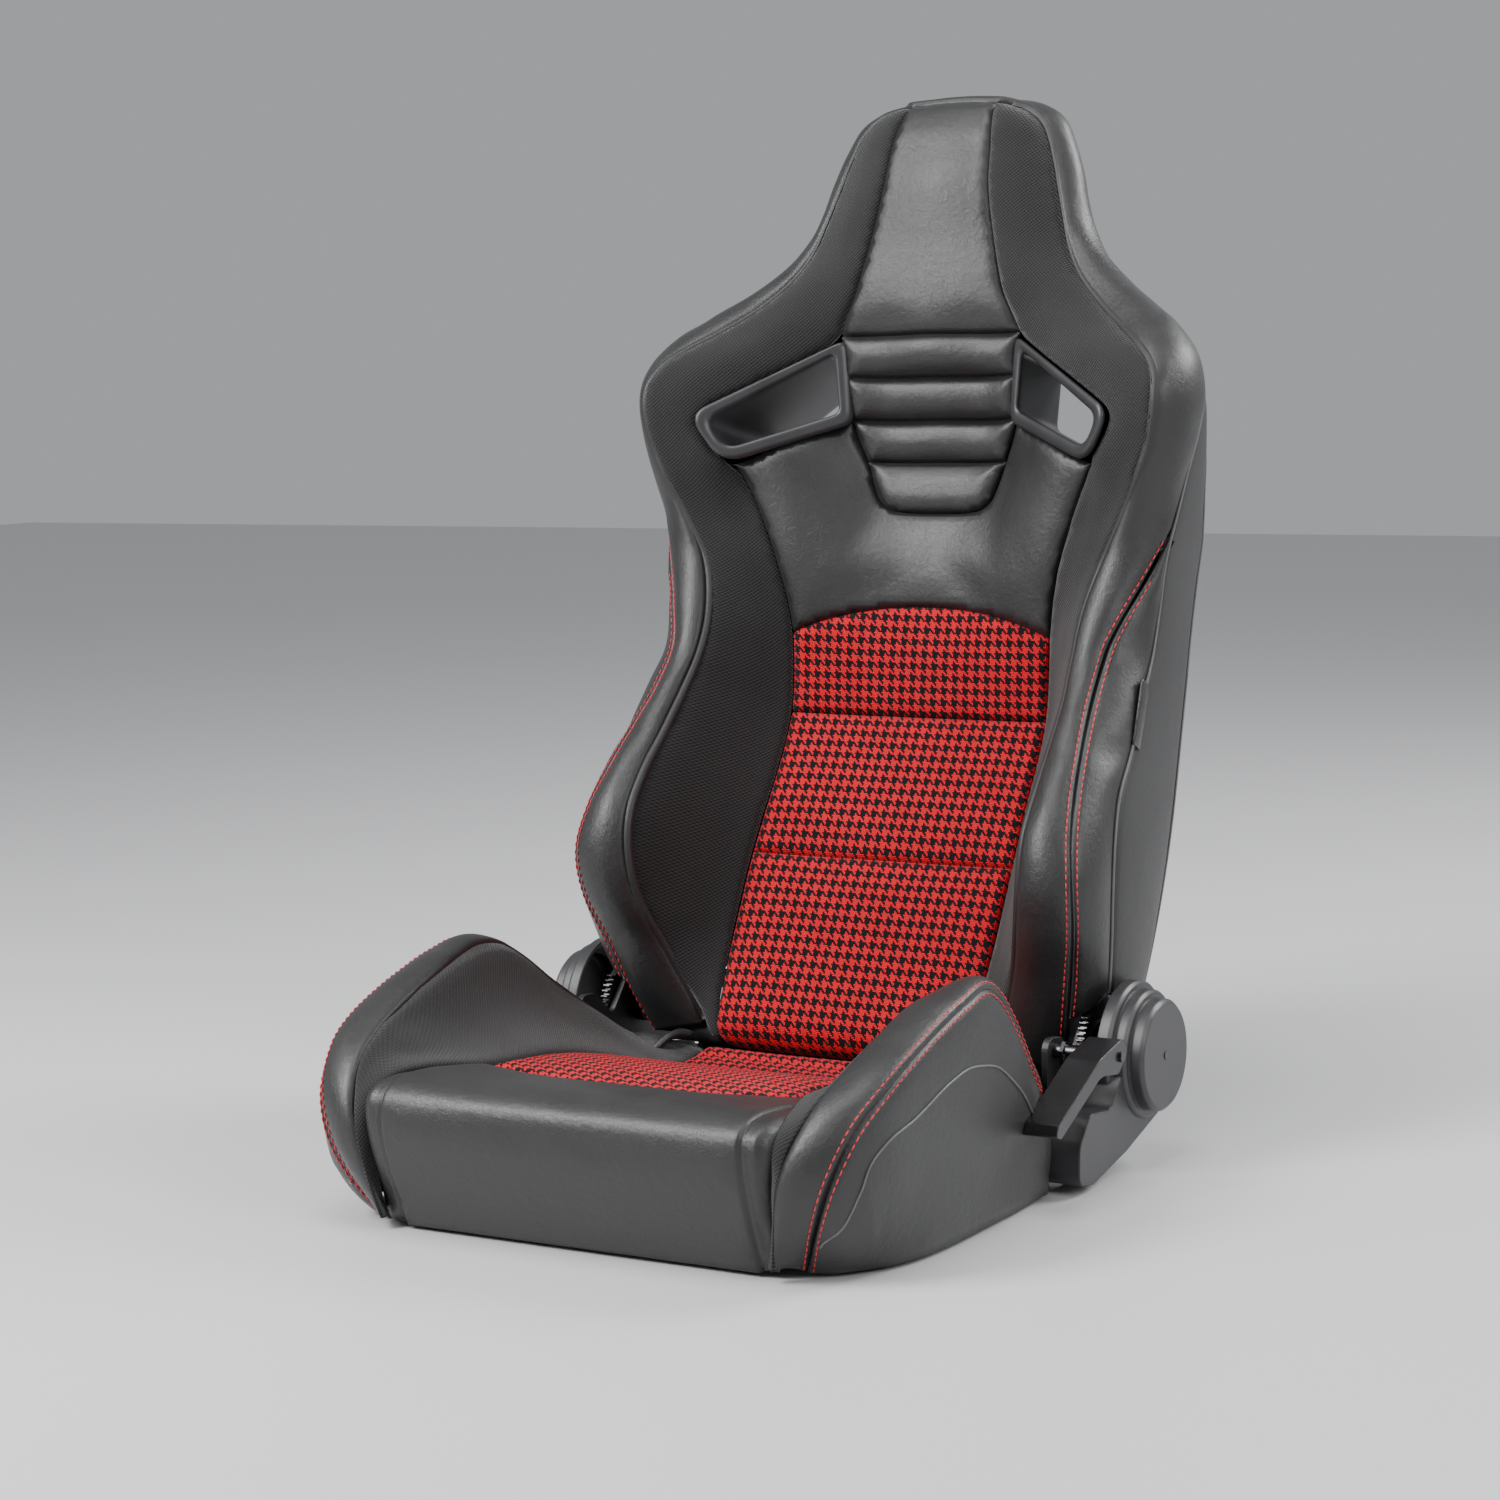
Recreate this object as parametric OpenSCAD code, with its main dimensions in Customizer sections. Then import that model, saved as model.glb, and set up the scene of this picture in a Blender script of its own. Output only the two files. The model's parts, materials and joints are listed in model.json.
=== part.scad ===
// Reclining sport seat for a car: cushion on a steel base frame, backrest with
// integral head restraint and two harness slots, locking recliners on both sides.
// Millimetres. +Z up, the occupant faces -Y, +X is the occupant's left.
// Origin: centre of the four mounting bolt holes, on the underside of the rails.

/* [Mounting] */
// Distance between the mounting bolts across the seat
bolt_x = 410; // [400:1:416]
// Distance between the mounting bolts front to back
bolt_y = 280; // [260:1:300]
// Diameter of the mounting bolt holes
bolt_d = 9; // [8.4:0.1:9.5]

/* [Base] */
// Distance from the bolt centre back to the recline hinge
hinge_y = 240; // [236:1:244]
// Height of the recline hinge above the underside
hinge_z = 95; // [92:1:98]
// Height of the base rails
rail_h = 38; // [34:1:40]
// Outer diameter of the base cross tubes
cross_tube_d = 22; // [18:1:24]
// Diameter of the spring wire
spring_wire_d = 3.6; // [3:0.2:4]

/* [Backrest] */
// Backward lean of the backrest at rest, degrees from vertical
lean = 14; // [13:0.5:15]
// Outer diameter of the backrest frame tube
frame_tube_d = 18; // [14:1:18]
// Wall thickness of the rear cover
cover_wall = 3; // [2.5:0.5:4]

/* [Recliner] */
// Thickness of the recliner plates
plate_t = 6; // [5:0.5:6]
// Radius of the hinge pin
pin_r = 8; // [7:0.5:8]
// Radius over the sector teeth
sector_r = 50; // [49:0.5:50.5]
// Radius of the round face of the recliner cover
hub_r = 48; // [44:1:50]

/* [Hidden] */
$fn = 48;

// ---- layout of the recliner, from the middle of the seat outwards ----
rail_in = 190;                     // inner face of a rail
rail_out = 230;                    // outer face of a rail
plate_x0 = 230.2;                  // fixed plate
arm_x0 = plate_x0 + plate_t + 0.8; // moving arm and pawl
cover_x0 = 262;                    // inner edge of the plastic cover
face_x = 299;                      // outer face of the round hub
lever_y = hinge_y - 86;            // lever pivot
lever_z = 110;
pawl_y = hinge_y - 34;             // pawl pivot
pawl_z = 36;
rail_front = -162;                 // front end of the rails
front_tube_y = -145;

// ---- helpers ----
function lerp(a, b, t) = a + (b - a) * t;
module mx(side) { if (side > 0) children(); else mirror([1, 0, 0]) children(); }
// into the backrest frame: x across, y up along the back, z forward
module back() translate([0, hinge_y, hinge_z]) rotate([90 - lean, 0, 0]) children();
// a cylinder along X between two planes
module xcyl(x0, x1, y, z, r, f = 64) translate([x0, y, z]) rotate([0, 90, 0]) cylinder(h = x1 - x0, r = r, $fn = f);
// an outline in (y, z), extruded along X
module xplate(x0, x1, pts) translate([x0, 0, 0]) rotate([90, 0, 90]) linear_extrude(height = x1 - x0) polygon(pts);
// a loft through planar rings with equal point counts
module loft(rings) {
    n = len(rings[0]); m = len(rings);
    polyhedron(points = [for (r = rings) for (p = r) p],
        faces = concat([[for (j = [n - 1 : -1 : 0]) j]],
            [for (i = [0 : m - 2]) for (j = [0 : n - 1]) each [[i * n + j, i * n + (j + 1) % n, (i + 1) * n + (j + 1) % n], [i * n + j, (i + 1) * n + (j + 1) % n, (i + 1) * n + j]]],
            [[for (j = [0 : n - 1]) (m - 1) * n + j]]), convexity = 6);
}
function unit(v) = v / norm(v);
function dirs(p) = [for (i = [0 : len(p) - 1]) unit(p[min(i + 1, len(p) - 1)] - p[max(i - 1, 0)])];
// a tube along a path; ref is a direction never parallel to the path
module sweep(p, r, n = 10, ref = [0, 0, 1]) {
    d = dirs(p);
    loft([for (i = [0 : len(p) - 1]) let (a = unit(cross(d[i], ref)), b = cross(d[i], a))
        [for (j = [0 : n - 1]) p[i] + r * cos(360 * j / n) * a + r * sin(360 * j / n) * b]]);
}
// corner points with rounded corners; c are corners, r radii
function rpoly(c, r, k = 6) = let (n = len(c)) [for (i = [0 : n - 1]) let (p = c[i], a = unit(c[(i + n - 1) % n] - p), b = unit(c[(i + 1) % n] - p),
    h = acos(a * b) / 2, t = r[i] / tan(h), m = p + unit(a + b) * r[i] / sin(h), a0 = atan2((p + a * t - m)[1], (p + a * t - m)[0]),
    a1 = atan2((p + b * t - m)[1], (p + b * t - m)[0]), da = (a1 - a0 + 540) % 360 - 180)
    for (j = [0 : k]) m + r[i] * [cos(a0 + da * j / k), sin(a0 + da * j / k)]];

// ---- backrest sections, by height v above the hinge ----
// half-width and depth of the centre insert edge
function uc(v) = lookup(v, [[-26, 121], [60, 128], [150, 131], [300, 130], [361, 132], [423, 145], [511, 180]]);
function wc(v) = lookup(v, [[-26, 29], [-14, 32], [0, 30], [50, 16], [100, 2], [150, -10], [200, -26], [250, -40], [300, -49], [400, -52],
    [500, -50], [540, -43], [580, -28], [610, -12], [640, 2], [680, 10], [720, 14], [760, 15], [800, 12], [830, 6], [848, -4]]);
// front seam between mesh and leather
function fu(v) = lookup(v, [[45, 172], [64, 180], [92, 189], [130, 195], [170, 197], [210, 197], [250, 195], [290, 193], [332, 190],
    [375, 191], [418, 201], [455, 219], [490, 237], [527, 252], [565, 257], [585, 249], [601, 234], [630, 205], [658, 174], [691, 144], [731, 123], [778, 111], [808, 102], [832, 90], [846, 70], [855, 40]]);
function fw(v) = lookup(v, [[45, 50], [64, 70], [92, 92], [130, 109], [170, 112], [210, 96], [250, 72], [290, 50], [332, 32],
    [375, 22], [418, 17], [455, 26], [490, 38], [527, 53], [565, 65], [601, 57], [630, 34], [658, 14], [691, 2], [731, -6], [778, -9], [855, -12]]);
// outer stitched seam, or the widest line above it
function su(v) = lookup(v, [[48, 232], [95, 245], [134, 248], [175, 242], [215, 234], [255, 227], [295, 221], [337, 220],
    [382, 230], [425, 243], [462, 256], [498, 266], [535, 274], [575, 276], [600, 266], [625, 248], [655, 214], [682, 184], [708, 157], [738, 138], [780, 126], [812, 115], [838, 102], [853, 80], [860, 46]]);
function sw(v) = lookup(v, [[48, 58], [95, 94], [134, 111], [175, 107], [215, 90], [255, 69], [295, 46], [337, 26],
    [382, 20], [425, 12], [462, 4], [498, 8], [535, 18], [575, 30], [625, 26], [655, 8], [682, -8], [708, -18], [738, -27], [860, -34]]);
// rear piping
function ru(v) = lookup(v, [[48, 254], [92, 257], [150, 258], [212, 255], [274, 250], [340, 247], [385, 249], [430, 254], [465, 260],
    [505, 265], [545, 268], [590, 263], [632, 237], [660, 205], [686, 175], [712, 149], [740, 130], [782, 119], [812, 108], [838, 96], [853, 75], [860, 42]]);
function rw(v) = lookup(v, [[48, 28], [92, 40], [150, 52], [212, 52], [274, 36], [340, 12], [385, 6], [430, 2], [465, -2],
    [505, -10], [545, -20], [590, -25], [660, -30], [686, -40], [712, -48], [740, -53], [860, -53]]);
// rear corner and rear face
function bu(v) = lookup(v, [[48, 226], [150, 232], [274, 231], [385, 231], [470, 240], [545, 243], [590, 236], [632, 208], [660, 180], [686, 150], [712, 126], [740, 110], [782, 99], [812, 88], [838, 74], [853, 55], [860, 30]]);
function bw(v) = lookup(v, [[48, -104], [92, -110], [150, -118], [212, -124], [274, -128], [385, -130], [430, -126], [470, -117], [545, -97], [590, -86], [632, -80], [782, -77], [812, -72], [838, -66], [860, -60]]);
// rear limit of the bolster foam, in front of the recliner arm and the frame
function bolster_rear(v) = v < 186 ? 24 : -34;

// harness slot outline, outer edge of the bezel
slot_out = [[86, 634], [81, 557], [186, 507], [214, 549]];
slot_in = [[94, 621], [89, 563], [184, 518], [202, 548]];
slot_hole = [[91.5, 624.5], [86.5, 561.5], [184.5, 514.8], [205.5, 548.5]];
slot_gap = [[91, 625.5], [86, 561], [184.8, 514], [206.3, 548.6]];
slot_r = [9, 7, 16, 14];
slot_a = -169.6; slot_b = 0.60; slot_c = 0.17;
// a slab whose upper face is the slot plane raised by h
module below_slot_plane(h, t = 400) translate([0, 0, slot_a + h]) rotate([atan(slot_c * cos(atan(slot_b))), -atan(slot_b), 0]) translate([-400, -100, -t]) cube([1600, 1600, t]);

// ---- base frame ----
module base_rail(side) color([0.06, 0.06, 0.065]) mx(side) difference() {
    translate([rail_in, rail_front, 0]) cube([rail_out - rail_in, 255 - rail_front, rail_h]);
    translate([rail_in + 2.5, rail_front - 1, 3]) cube([rail_out - rail_in - 5, 257 - rail_front, rail_h]);
    for (y = [-bolt_y / 2, bolt_y / 2]) translate([bolt_x / 2, y, -1]) cylinder(h = 6, d = bolt_d);
    for (y = [165, 235]) xcyl(rail_out - 5, rail_out + 1, y, 18, 5.2, 32);
    xcyl(rail_in - 1, rail_in + 5, front_tube_y, 22, cross_tube_d / 2, 48);
    xcyl(rail_in - 1, rail_in + 5, 205, 18, cross_tube_d / 2, 48);
}
module cross_tube(y, z) color([0.06, 0.06, 0.065]) difference() {
    xcyl(-rail_in - 2.5, rail_in + 2.5, y, z, cross_tube_d / 2, 48);
    xcyl(-rail_in - 4, rail_in + 4, y, z, cross_tube_d / 2 - 2, 48);
}
module front_cross_tube() cross_tube(front_tube_y, 22);
module rear_cross_tube() cross_tube(205, 18);
// zigzag springs between the cross tubes
zz = [for (i = [0 : 22]) [(i % 4 < 2 ? -1 : 1) * 20, -134 + i * 14.8]];
module cushion_springs() color([0.3, 0.3, 0.32]) for (x = [-120, -60, 0, 60, 120])
    sweep([for (i = [0 : 22]) [x + zz[i][0], zz[i][1], 37.2 - i * 0.05]], spring_wire_d / 2, 6);
module spring_clips() color([0.75, 0.75, 0.72]) for (x = [-120, -60, 0, 60, 120]) {
    translate([x - 26, -141, 33.4]) cube([12, 12, 1.8]);
    translate([x + 12, 186, 29.2]) cube([12, 11, 4.6]);
}
module weld_nuts() color([0.6, 0.6, 0.58]) for (x = [-bolt_x / 2, bolt_x / 2], y = [-bolt_y / 2, bolt_y / 2])
    translate([x, y, 3]) difference() { cylinder(h = 7, r = 8, $fn = 6); translate([0, 0, -1]) cylinder(h = 9, d = bolt_d); }

// ---- recliner ----
plate_pts = rpoly([[150, 6], [272, 6], [294, 60], [286, 126], [232, 142], [192, 96], [166, 120], [140, 122], [138, 60]], [8, 12, 30, 34, 28, 6, 10, 10, 20]);
module recliner_plate(side) color([0.05, 0.05, 0.055]) mx(side) difference() {
    xplate(plate_x0, plate_x0 + plate_t, plate_pts);
    xcyl(plate_x0 - 1, plate_x0 + plate_t + 1, hinge_y, hinge_z, pin_r);
    if (side > 0) xcyl(plate_x0 - 1, plate_x0 + plate_t + 1, lever_y, lever_z, 6.06);
    xcyl(plate_x0 - 1, plate_x0 + plate_t + 1, pawl_y, pawl_z, 5);
    for (y = [165, 235]) xcyl(plate_x0 - 1, plate_x0 + plate_t + 1, y, 18, 5.2, 32);
}
module plate_bolts() color([0.7, 0.7, 0.68]) for (s = [-1, 1], y = [165, 235]) mx(s) {
    xcyl(rail_out - 8, plate_x0 + plate_t, y, 18, 4.9, 32);
    translate([plate_x0 + plate_t, y, 18]) rotate([0, 90, 0]) cylinder(h = 4.5, r = 8, $fn = 6);
    translate([rail_out - 8, y, 18]) rotate([0, 90, 0]) cylinder(h = 5.4, r = 8, $fn = 6);
}
module hinge_pin(side) color([0.55, 0.55, 0.56]) mx(side) {
    xcyl(plate_x0 - 4, arm_x0 + plate_t + 10, hinge_y, hinge_z, pin_r);
    xcyl(plate_x0 - 8, plate_x0 - 0.2, hinge_y, hinge_z, pin_r + 5);
}
// a spiral spring around the hinge, anchored in the slotted pin end
function spiral_r(i) = 11 + 19 * i / 90;
module assist_spring(side) color([0.12, 0.12, 0.13]) mx(side)
    xplate(arm_x0 + plate_t + 2, arm_x0 + plate_t + 9, concat(
        [for (i = [0 : 90]) [hinge_y, hinge_z] + (spiral_r(i) + 1.1) * [cos(12 * i), sin(12 * i)]],
        [for (i = [90 : -1 : 0]) [hinge_y, hinge_z] + (spiral_r(i) - 1.1) * [cos(12 * i), sin(12 * i)]]));
module pawl_pins() color([0.6, 0.6, 0.6]) for (s = [-1, 1]) mx(s) {
    xcyl(plate_x0, arm_x0 + plate_t + 1, pawl_y, pawl_z, 5);
    xcyl(arm_x0 + plate_t + 1, arm_x0 + plate_t + 3, pawl_y, pawl_z, 8);
}
// teeth on the front lower edge of the arm; the pawl carries the matching ones
tooth_p = 6;
function tooth_ring(a0, a1, r0, r1) = [for (a = [a0 : tooth_p : a1]) each [
    [hinge_y, hinge_z] + r0 * [cos(a), sin(a)], [hinge_y, hinge_z] + r1 * [cos(a + tooth_p * 0.3), sin(a + tooth_p * 0.3)],
    [hinge_y, hinge_z] + r1 * [cos(a + tooth_p * 0.5), sin(a + tooth_p * 0.5)], [hinge_y, hinge_z] + r0 * [cos(a + tooth_p * 0.8), sin(a + tooth_p * 0.8)]]];
function bk(v, w) = [hinge_y + v * sin(lean) - w * cos(lean), hinge_z + v * cos(lean) + w * sin(lean)];
arm_pts = concat(tooth_ring(134, 284, sector_r - 4, sector_r),
    [for (a = [294 : 12 : 366]) [hinge_y, hinge_z] + 44 * [cos(a), sin(a)]],
    [bk(30, -46), bk(52, -56), bk(100, -62), bk(165, -62), bk(172, -55), bk(172, -20), bk(165, -12), bk(110, 4), bk(62, 16), bk(44, 22)]);
module recliner_arm(side) color([0.04, 0.04, 0.045]) mx(side) difference() {
    xplate(arm_x0, arm_x0 + plate_t, arm_pts);
    xcyl(arm_x0 - 1, arm_x0 + plate_t + 1, hinge_y, hinge_z, pin_r + 2);
    for (v = [100, 150]) xcyl(arm_x0 - 1, arm_x0 + plate_t + 1, bk(v, -49)[0], bk(v, -49)[1], 5.2, 32);
}
module hinge_bush(side) color([0.72, 0.55, 0.3]) mx(side) difference() {
    xcyl(arm_x0, arm_x0 + plate_t, hinge_y, hinge_z, pin_r + 2);
    xcyl(arm_x0 - 1, arm_x0 + plate_t + 1, hinge_y, hinge_z, pin_r + 0.05);
}
module arm_bolts() color([0.7, 0.7, 0.68]) for (s = [-1, 1], v = [100, 150]) mx(s) {
    p = bk(v, -49);
    xcyl(213, arm_x0 + plate_t, p[0], p[1], 4.9, 32);
    translate([arm_x0 + plate_t, p[0], p[1]]) rotate([0, 90, 0]) cylinder(h = 3, r = 7, $fn = 6);
    translate([208, p[0], p[1]]) rotate([0, 90, 0]) cylinder(h = 5, r = 7, $fn = 6);
}
// the pawl: a rocker whose toothed face stands just clear of the sector
pawl_a0 = 192;
module pawl(side) color([0.5, 0.5, 0.5]) mx(side) union() {
    difference() {
        xplate(arm_x0, arm_x0 + plate_t, concat(
            [for (a = [pawl_a0 + 18 : -tooth_p : pawl_a0]) each [
                [hinge_y, hinge_z] + (sector_r + 5) * [cos(a + 4.8), sin(a + 4.8)], [hinge_y, hinge_z] + (sector_r + 1) * [cos(a + 3.6), sin(a + 3.6)],
                [hinge_y, hinge_z] + (sector_r + 1) * [cos(a + 2.4), sin(a + 2.4)], [hinge_y, hinge_z] + (sector_r + 5) * [cos(a + 1.2), sin(a + 1.2)]]],
            [[pawl_y - 27, pawl_z + 53], [pawl_y - 36, pawl_z + 53], [pawl_y - 41, pawl_z + 46], [pawl_y - 39, pawl_z + 38], [pawl_y - 18, pawl_z + 2], [pawl_y - 11, pawl_z - 8],
             [pawl_y, pawl_z - 11], [pawl_y + 9, pawl_z - 7], [pawl_y + 11, pawl_z + 3], [pawl_y + 3, pawl_z + 14]]));
        xcyl(arm_x0 - 1, arm_x0 + plate_t + 1, pawl_y, pawl_z, 5.05);
    }
    xcyl(arm_x0 + plate_t, arm_x0 + plate_t + 4.2, pawl_y - 35, pawl_z + 46, 3, 32);
}
module lever_shaft() color([0.5, 0.5, 0.5]) {
    difference() {
        xcyl(plate_x0 - 3, 288, lever_y, lever_z, 6, 48);
        xcyl(276, 289, lever_y, lever_z, 2.6, 32);
    }
    // finger that draws the pawl's stud forwards, out of mesh
    difference() {
        xplate(arm_x0 + plate_t + 0.6, arm_x0 + plate_t + 4, [for (p = [[-9, 2], [-2, 9], [8, 6], [30, -20], [31, -31], [25, -31], [22, -24], [5, -9], [-6, -8]]) [lever_y, lever_z] + p]);
        xcyl(arm_x0 - 1, arm_x0 + plate_t + 5, lever_y, lever_z, 5.5, 48);
    }
}
// paddle lever: flat grip, wide across X, pointing forwards and down
lever_pts = rpoly([[lever_y + 15, lever_z + 2], [lever_y + 6, lever_z + 15], [lever_y - 40, lever_z + 5], [lever_y - 120, lever_z - 33], [lever_y - 125, lever_z - 42], [lever_y - 116, lever_z - 45], [lever_y - 38, lever_z - 9], [lever_y - 4, lever_z - 14]], [6, 8, 30, 4, 3, 4, 30, 10]);
module release_lever() color([0.05, 0.05, 0.05]) difference() {
    xplate(266, 296, lever_pts);
    xplate(265, 292, rpoly([[lever_y - 46, lever_z - 4], [lever_y - 108, lever_z - 33.5], [lever_y - 112, lever_z - 50], [lever_y - 42, lever_z - 24]], [3, 3, 3, 4], 4));
    xcyl(265, 288.1, lever_y, lever_z, 6.02, 48);
    xcyl(287, 300, lever_y, lever_z, 2.6, 32);
}
module lever_screw() color([0.75, 0.75, 0.75]) { xcyl(277, 296, lever_y, lever_z, 2.5, 32); xcyl(296, 298.5, lever_y, lever_z, 4.5, 32); }
// plastic cover: stepped round hub and a moulded foot running down to the rail
foot_out = rpoly([[286, 76], [270, 42], [196, 20], [128, 6], [101, 10], [103, 42], [124, 66], [164, 62], [176, 74], [196, 96]], [10, 20, 30, 12, 10, 20, 14, 10, 8, 10]);
// one step of the hub: a disc out to x1 with a chamfered rim
module hub_step(x1, r, c) {
    xcyl(cover_x0, x1 - c, hinge_y, hinge_z, r, 96);
    translate([x1 - c, hinge_y, hinge_z]) rotate([0, 90, 0]) cylinder(r1 = r, r2 = r - c, h = c, $fn = 96);
}
module hub_out(o) {
    hub_step(274 - o, 62 - o, 2.5);
    hub_step(286 - o, 55 - o, 2.5);
    hub_step(face_x - o, hub_r - o, 3);
}
module recliner_cover(side) color([0.1, 0.1, 0.105]) mx(side) difference() {
    union() {
        hub_out(0);
        xplate(plate_x0 + plate_t + 12, 282, foot_out);
    }
    translate([-0.01, 0, 0]) hub_out(2.5);
    intersection() {
        xplate(plate_x0 + plate_t + 11, 279.5, foot_out);
        xplate(plate_x0 + plate_t + 11, 279.5, [[280, 76], [264, 46], [196, 25], [130, 10], [106, 14], [107, 38], [127, 61], [166, 57], [181, 72], [200, 96], [260, 110]]);
    }
    if (side > 0) xcyl(cover_x0 - 30, 300, lever_y, lever_z, 24, 64);
    xcyl(cover_x0, face_x + 1, hinge_y, hinge_z, 3.2, 32);
}
module cover_screws() color([0.5, 0.5, 0.5]) for (s = [-1, 1]) mx(s) {
    xcyl(arm_x0 + plate_t + 10, face_x - 2.5, hinge_y, hinge_z, 3, 32);
    xcyl(face_x - 2.5, face_x + 0.8, hinge_y, hinge_z, 3.2, 32);
}
// sheathed cable that carries the lever's pull to the far pawl
cable_pts = [[226, 198, 62], [205, 206, 48], [180, 226, 42], [140, 236, 34], [90, 238, 30], [30, 239, 29], [-30, 239, 29], [-90, 238, 30], [-140, 236, 34], [-180, 226, 42], [-205, 206, 48], [-226, 198, 62]];
module release_cable() color([0.03, 0.03, 0.03]) sweep(cable_pts, 2.5, 8, [0, 0.3, 1]);

// ---- cushion ----
// top profile of the cushion centre, front to back
cush_top = [[-246, 118], [-240, 124], [-228, 129], [-200, 131], [-170, 128], [-120, 120], [-50, 112], [10, 102], [70, 86], [140, 71], [190, 70]];
module cushion_front_pad() color([0.07, 0.07, 0.075]) xplate(-184, 184, concat([[-200, 4], [-206, 10]], [for (p = cush_top) if (p[0] < -165) p], [[-166, 127.6], [-166, 45], [-176, 40], [-176, 4]]));
module cushion_centre_pad() color([0.75, 0.08, 0.09]) xplate(-139, 139, concat([[-165, 42], [-165, 127.4]], [for (p = cush_top) if (p[0] > -165) p], [[198, 66], [198, 44], [188, 42]]));
// bolster: sections at constant y
function bi_x(y) = lookup(y, [[-244, 194], [-236, 202], [-214, 210], [-177, 215], [-110, 218], [-30, 228], [35, 230], [150, 226]]);
function bo_x(y) = lookup(y, [[-244, 206], [-236, 228], [-224, 240], [-212, 250], [-184, 258], [-140, 261], [-60, 260], [20, 254], [60, 248], [150, 245]]);
function bt_z(y) = lookup(y, [[-244, 84], [-236, 112], [-214, 140], [-177, 160], [-132, 176], [-87, 190], [-30, 198], [8, 197], [35, 190], [50, 175], [73, 140], [99, 103], [116, 92], [140, 84]]);
function bc_z(y) = lookup(y, cush_top);
function bb_z(y) = lookup(y, [[-244, 60], [-236, 40], [-224, 22], [-206, 8], [-190, 6]]);
bol_ys = [-243, -236, -224, -206, -185, -167, -163.5, -148, -120, -85, -50, -20, 8, 30, 50, 73, 88, 99];
module cushion_bolster(side) color([0.08, 0.08, 0.085]) mx(side) loft([for (y = bol_ys) let (
    front = y < -165, xi = lookup(y, [[-163.5, 185], [-148, 140]]), zi = y < -160 ? max(bb_z(y), bt_z(y) - (y < -206 ? 20 : 45)) : bc_z(y) - 1,
    zt = bt_z(y), xs = bi_x(y), xo = bo_x(y), zb = bb_z(y), zf = front ? zb + 2 : 40, xside = min(262, xo + 5), xb = min(xside - 4, 256), xr = min(233, xb - 3))
    [[xi, y, zi], [lerp(xi, xs, 0.5), y, lerp(zi, zt, 0.28)], [lerp(xi, xs, 0.85), y, lerp(zi, zt, 0.72)], [xs, y, zt],
     [lerp(xs, xo, 0.5), y, zt + 3.5], [xo, y, zt - 2], [xside, y, lerp(zt, zb, 0.35)], [xside, y, lerp(zt, zb, 0.75)], [xb, y, zb],
     [xr, y, zb], [xr - 2, y, zf], [xi, y, zf + 0.5]]]);

// ---- backrest pads, rings at constant height v ----
function ring_bolster(v) = let (a = uc(v) + 0.5, c = wc(v), f = fu(v), g = fw(v), s = su(v), t = sw(v), r = ru(v), q = rw(v), e = min(bolster_rear(v), q - 2))
    [[a, v, c], [lerp(a, f, 0.35), v, lerp(c, g, 0.14)], [lerp(a, f, 0.7), v, lerp(c, g, 0.58)], [f, v, g], [(f + s) / 2, v, (g + t) / 2 + 4],
     [s, v, t], [(s + r) / 2 + 3, v, (t + q) / 2 + 2], [r, v, q + 1.2], [r - 7, v, q + 1.2], [r - 12, v, e], [188, v, e], [186, v, -74], [a, v, -74]];
module back_bolster(side) color([0.08, 0.08, 0.085]) mx(side) back()
    loft([for (v = [58, 70, 92, 130, 150, 170, 185.5, 186.5, 212, 255, 274, 295, 340, 385, 425, 462, 498]) ring_bolster(v)]);
module back_centre_pad() color([0.75, 0.08, 0.09]) back() loft([for (v = [-26, -14, 0, 25, 50, 100, 150, 200, 250, 300, 361, 420, 440]) let (a = uc(v), c = wc(v), z0 = v < 30 ? 13 : -74)
    [[-a, v, c], [-a * 0.5, v, c - 3], [0, v, c - 4], [a * 0.5, v, c - 3], [a, v, c], [a, v, min(z0, c - 10)], [-a, v, min(z0, c - 10)]]]);
// upper back: between the harness slots and down to the houndstooth panel
function ue(v) = lookup(v, [[441, 150], [498, 173.5], [505, 176], [520, 152], [556, 78], [634, 82]]);
function uew(v) = lookup(v, [[441, -16], [498, 8], [505, 10], [556, -34], [600, -22], [634, -2]]);
module upper_back_pad() color([0.09, 0.09, 0.095]) back() loft([for (v = [441, 470, 498.5, 505, 520, 540, 556, 580, 610, 634]) let (a = ue(v), c = wc(v), e = uew(v))
    [[-a, v, e], [-a * 0.55, v, lerp(c, e, 0.15)], [0, v, c], [a * 0.55, v, lerp(c, e, 0.15)], [a, v, e], [a, v, -74], [-a, v, -74]]]);
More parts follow.
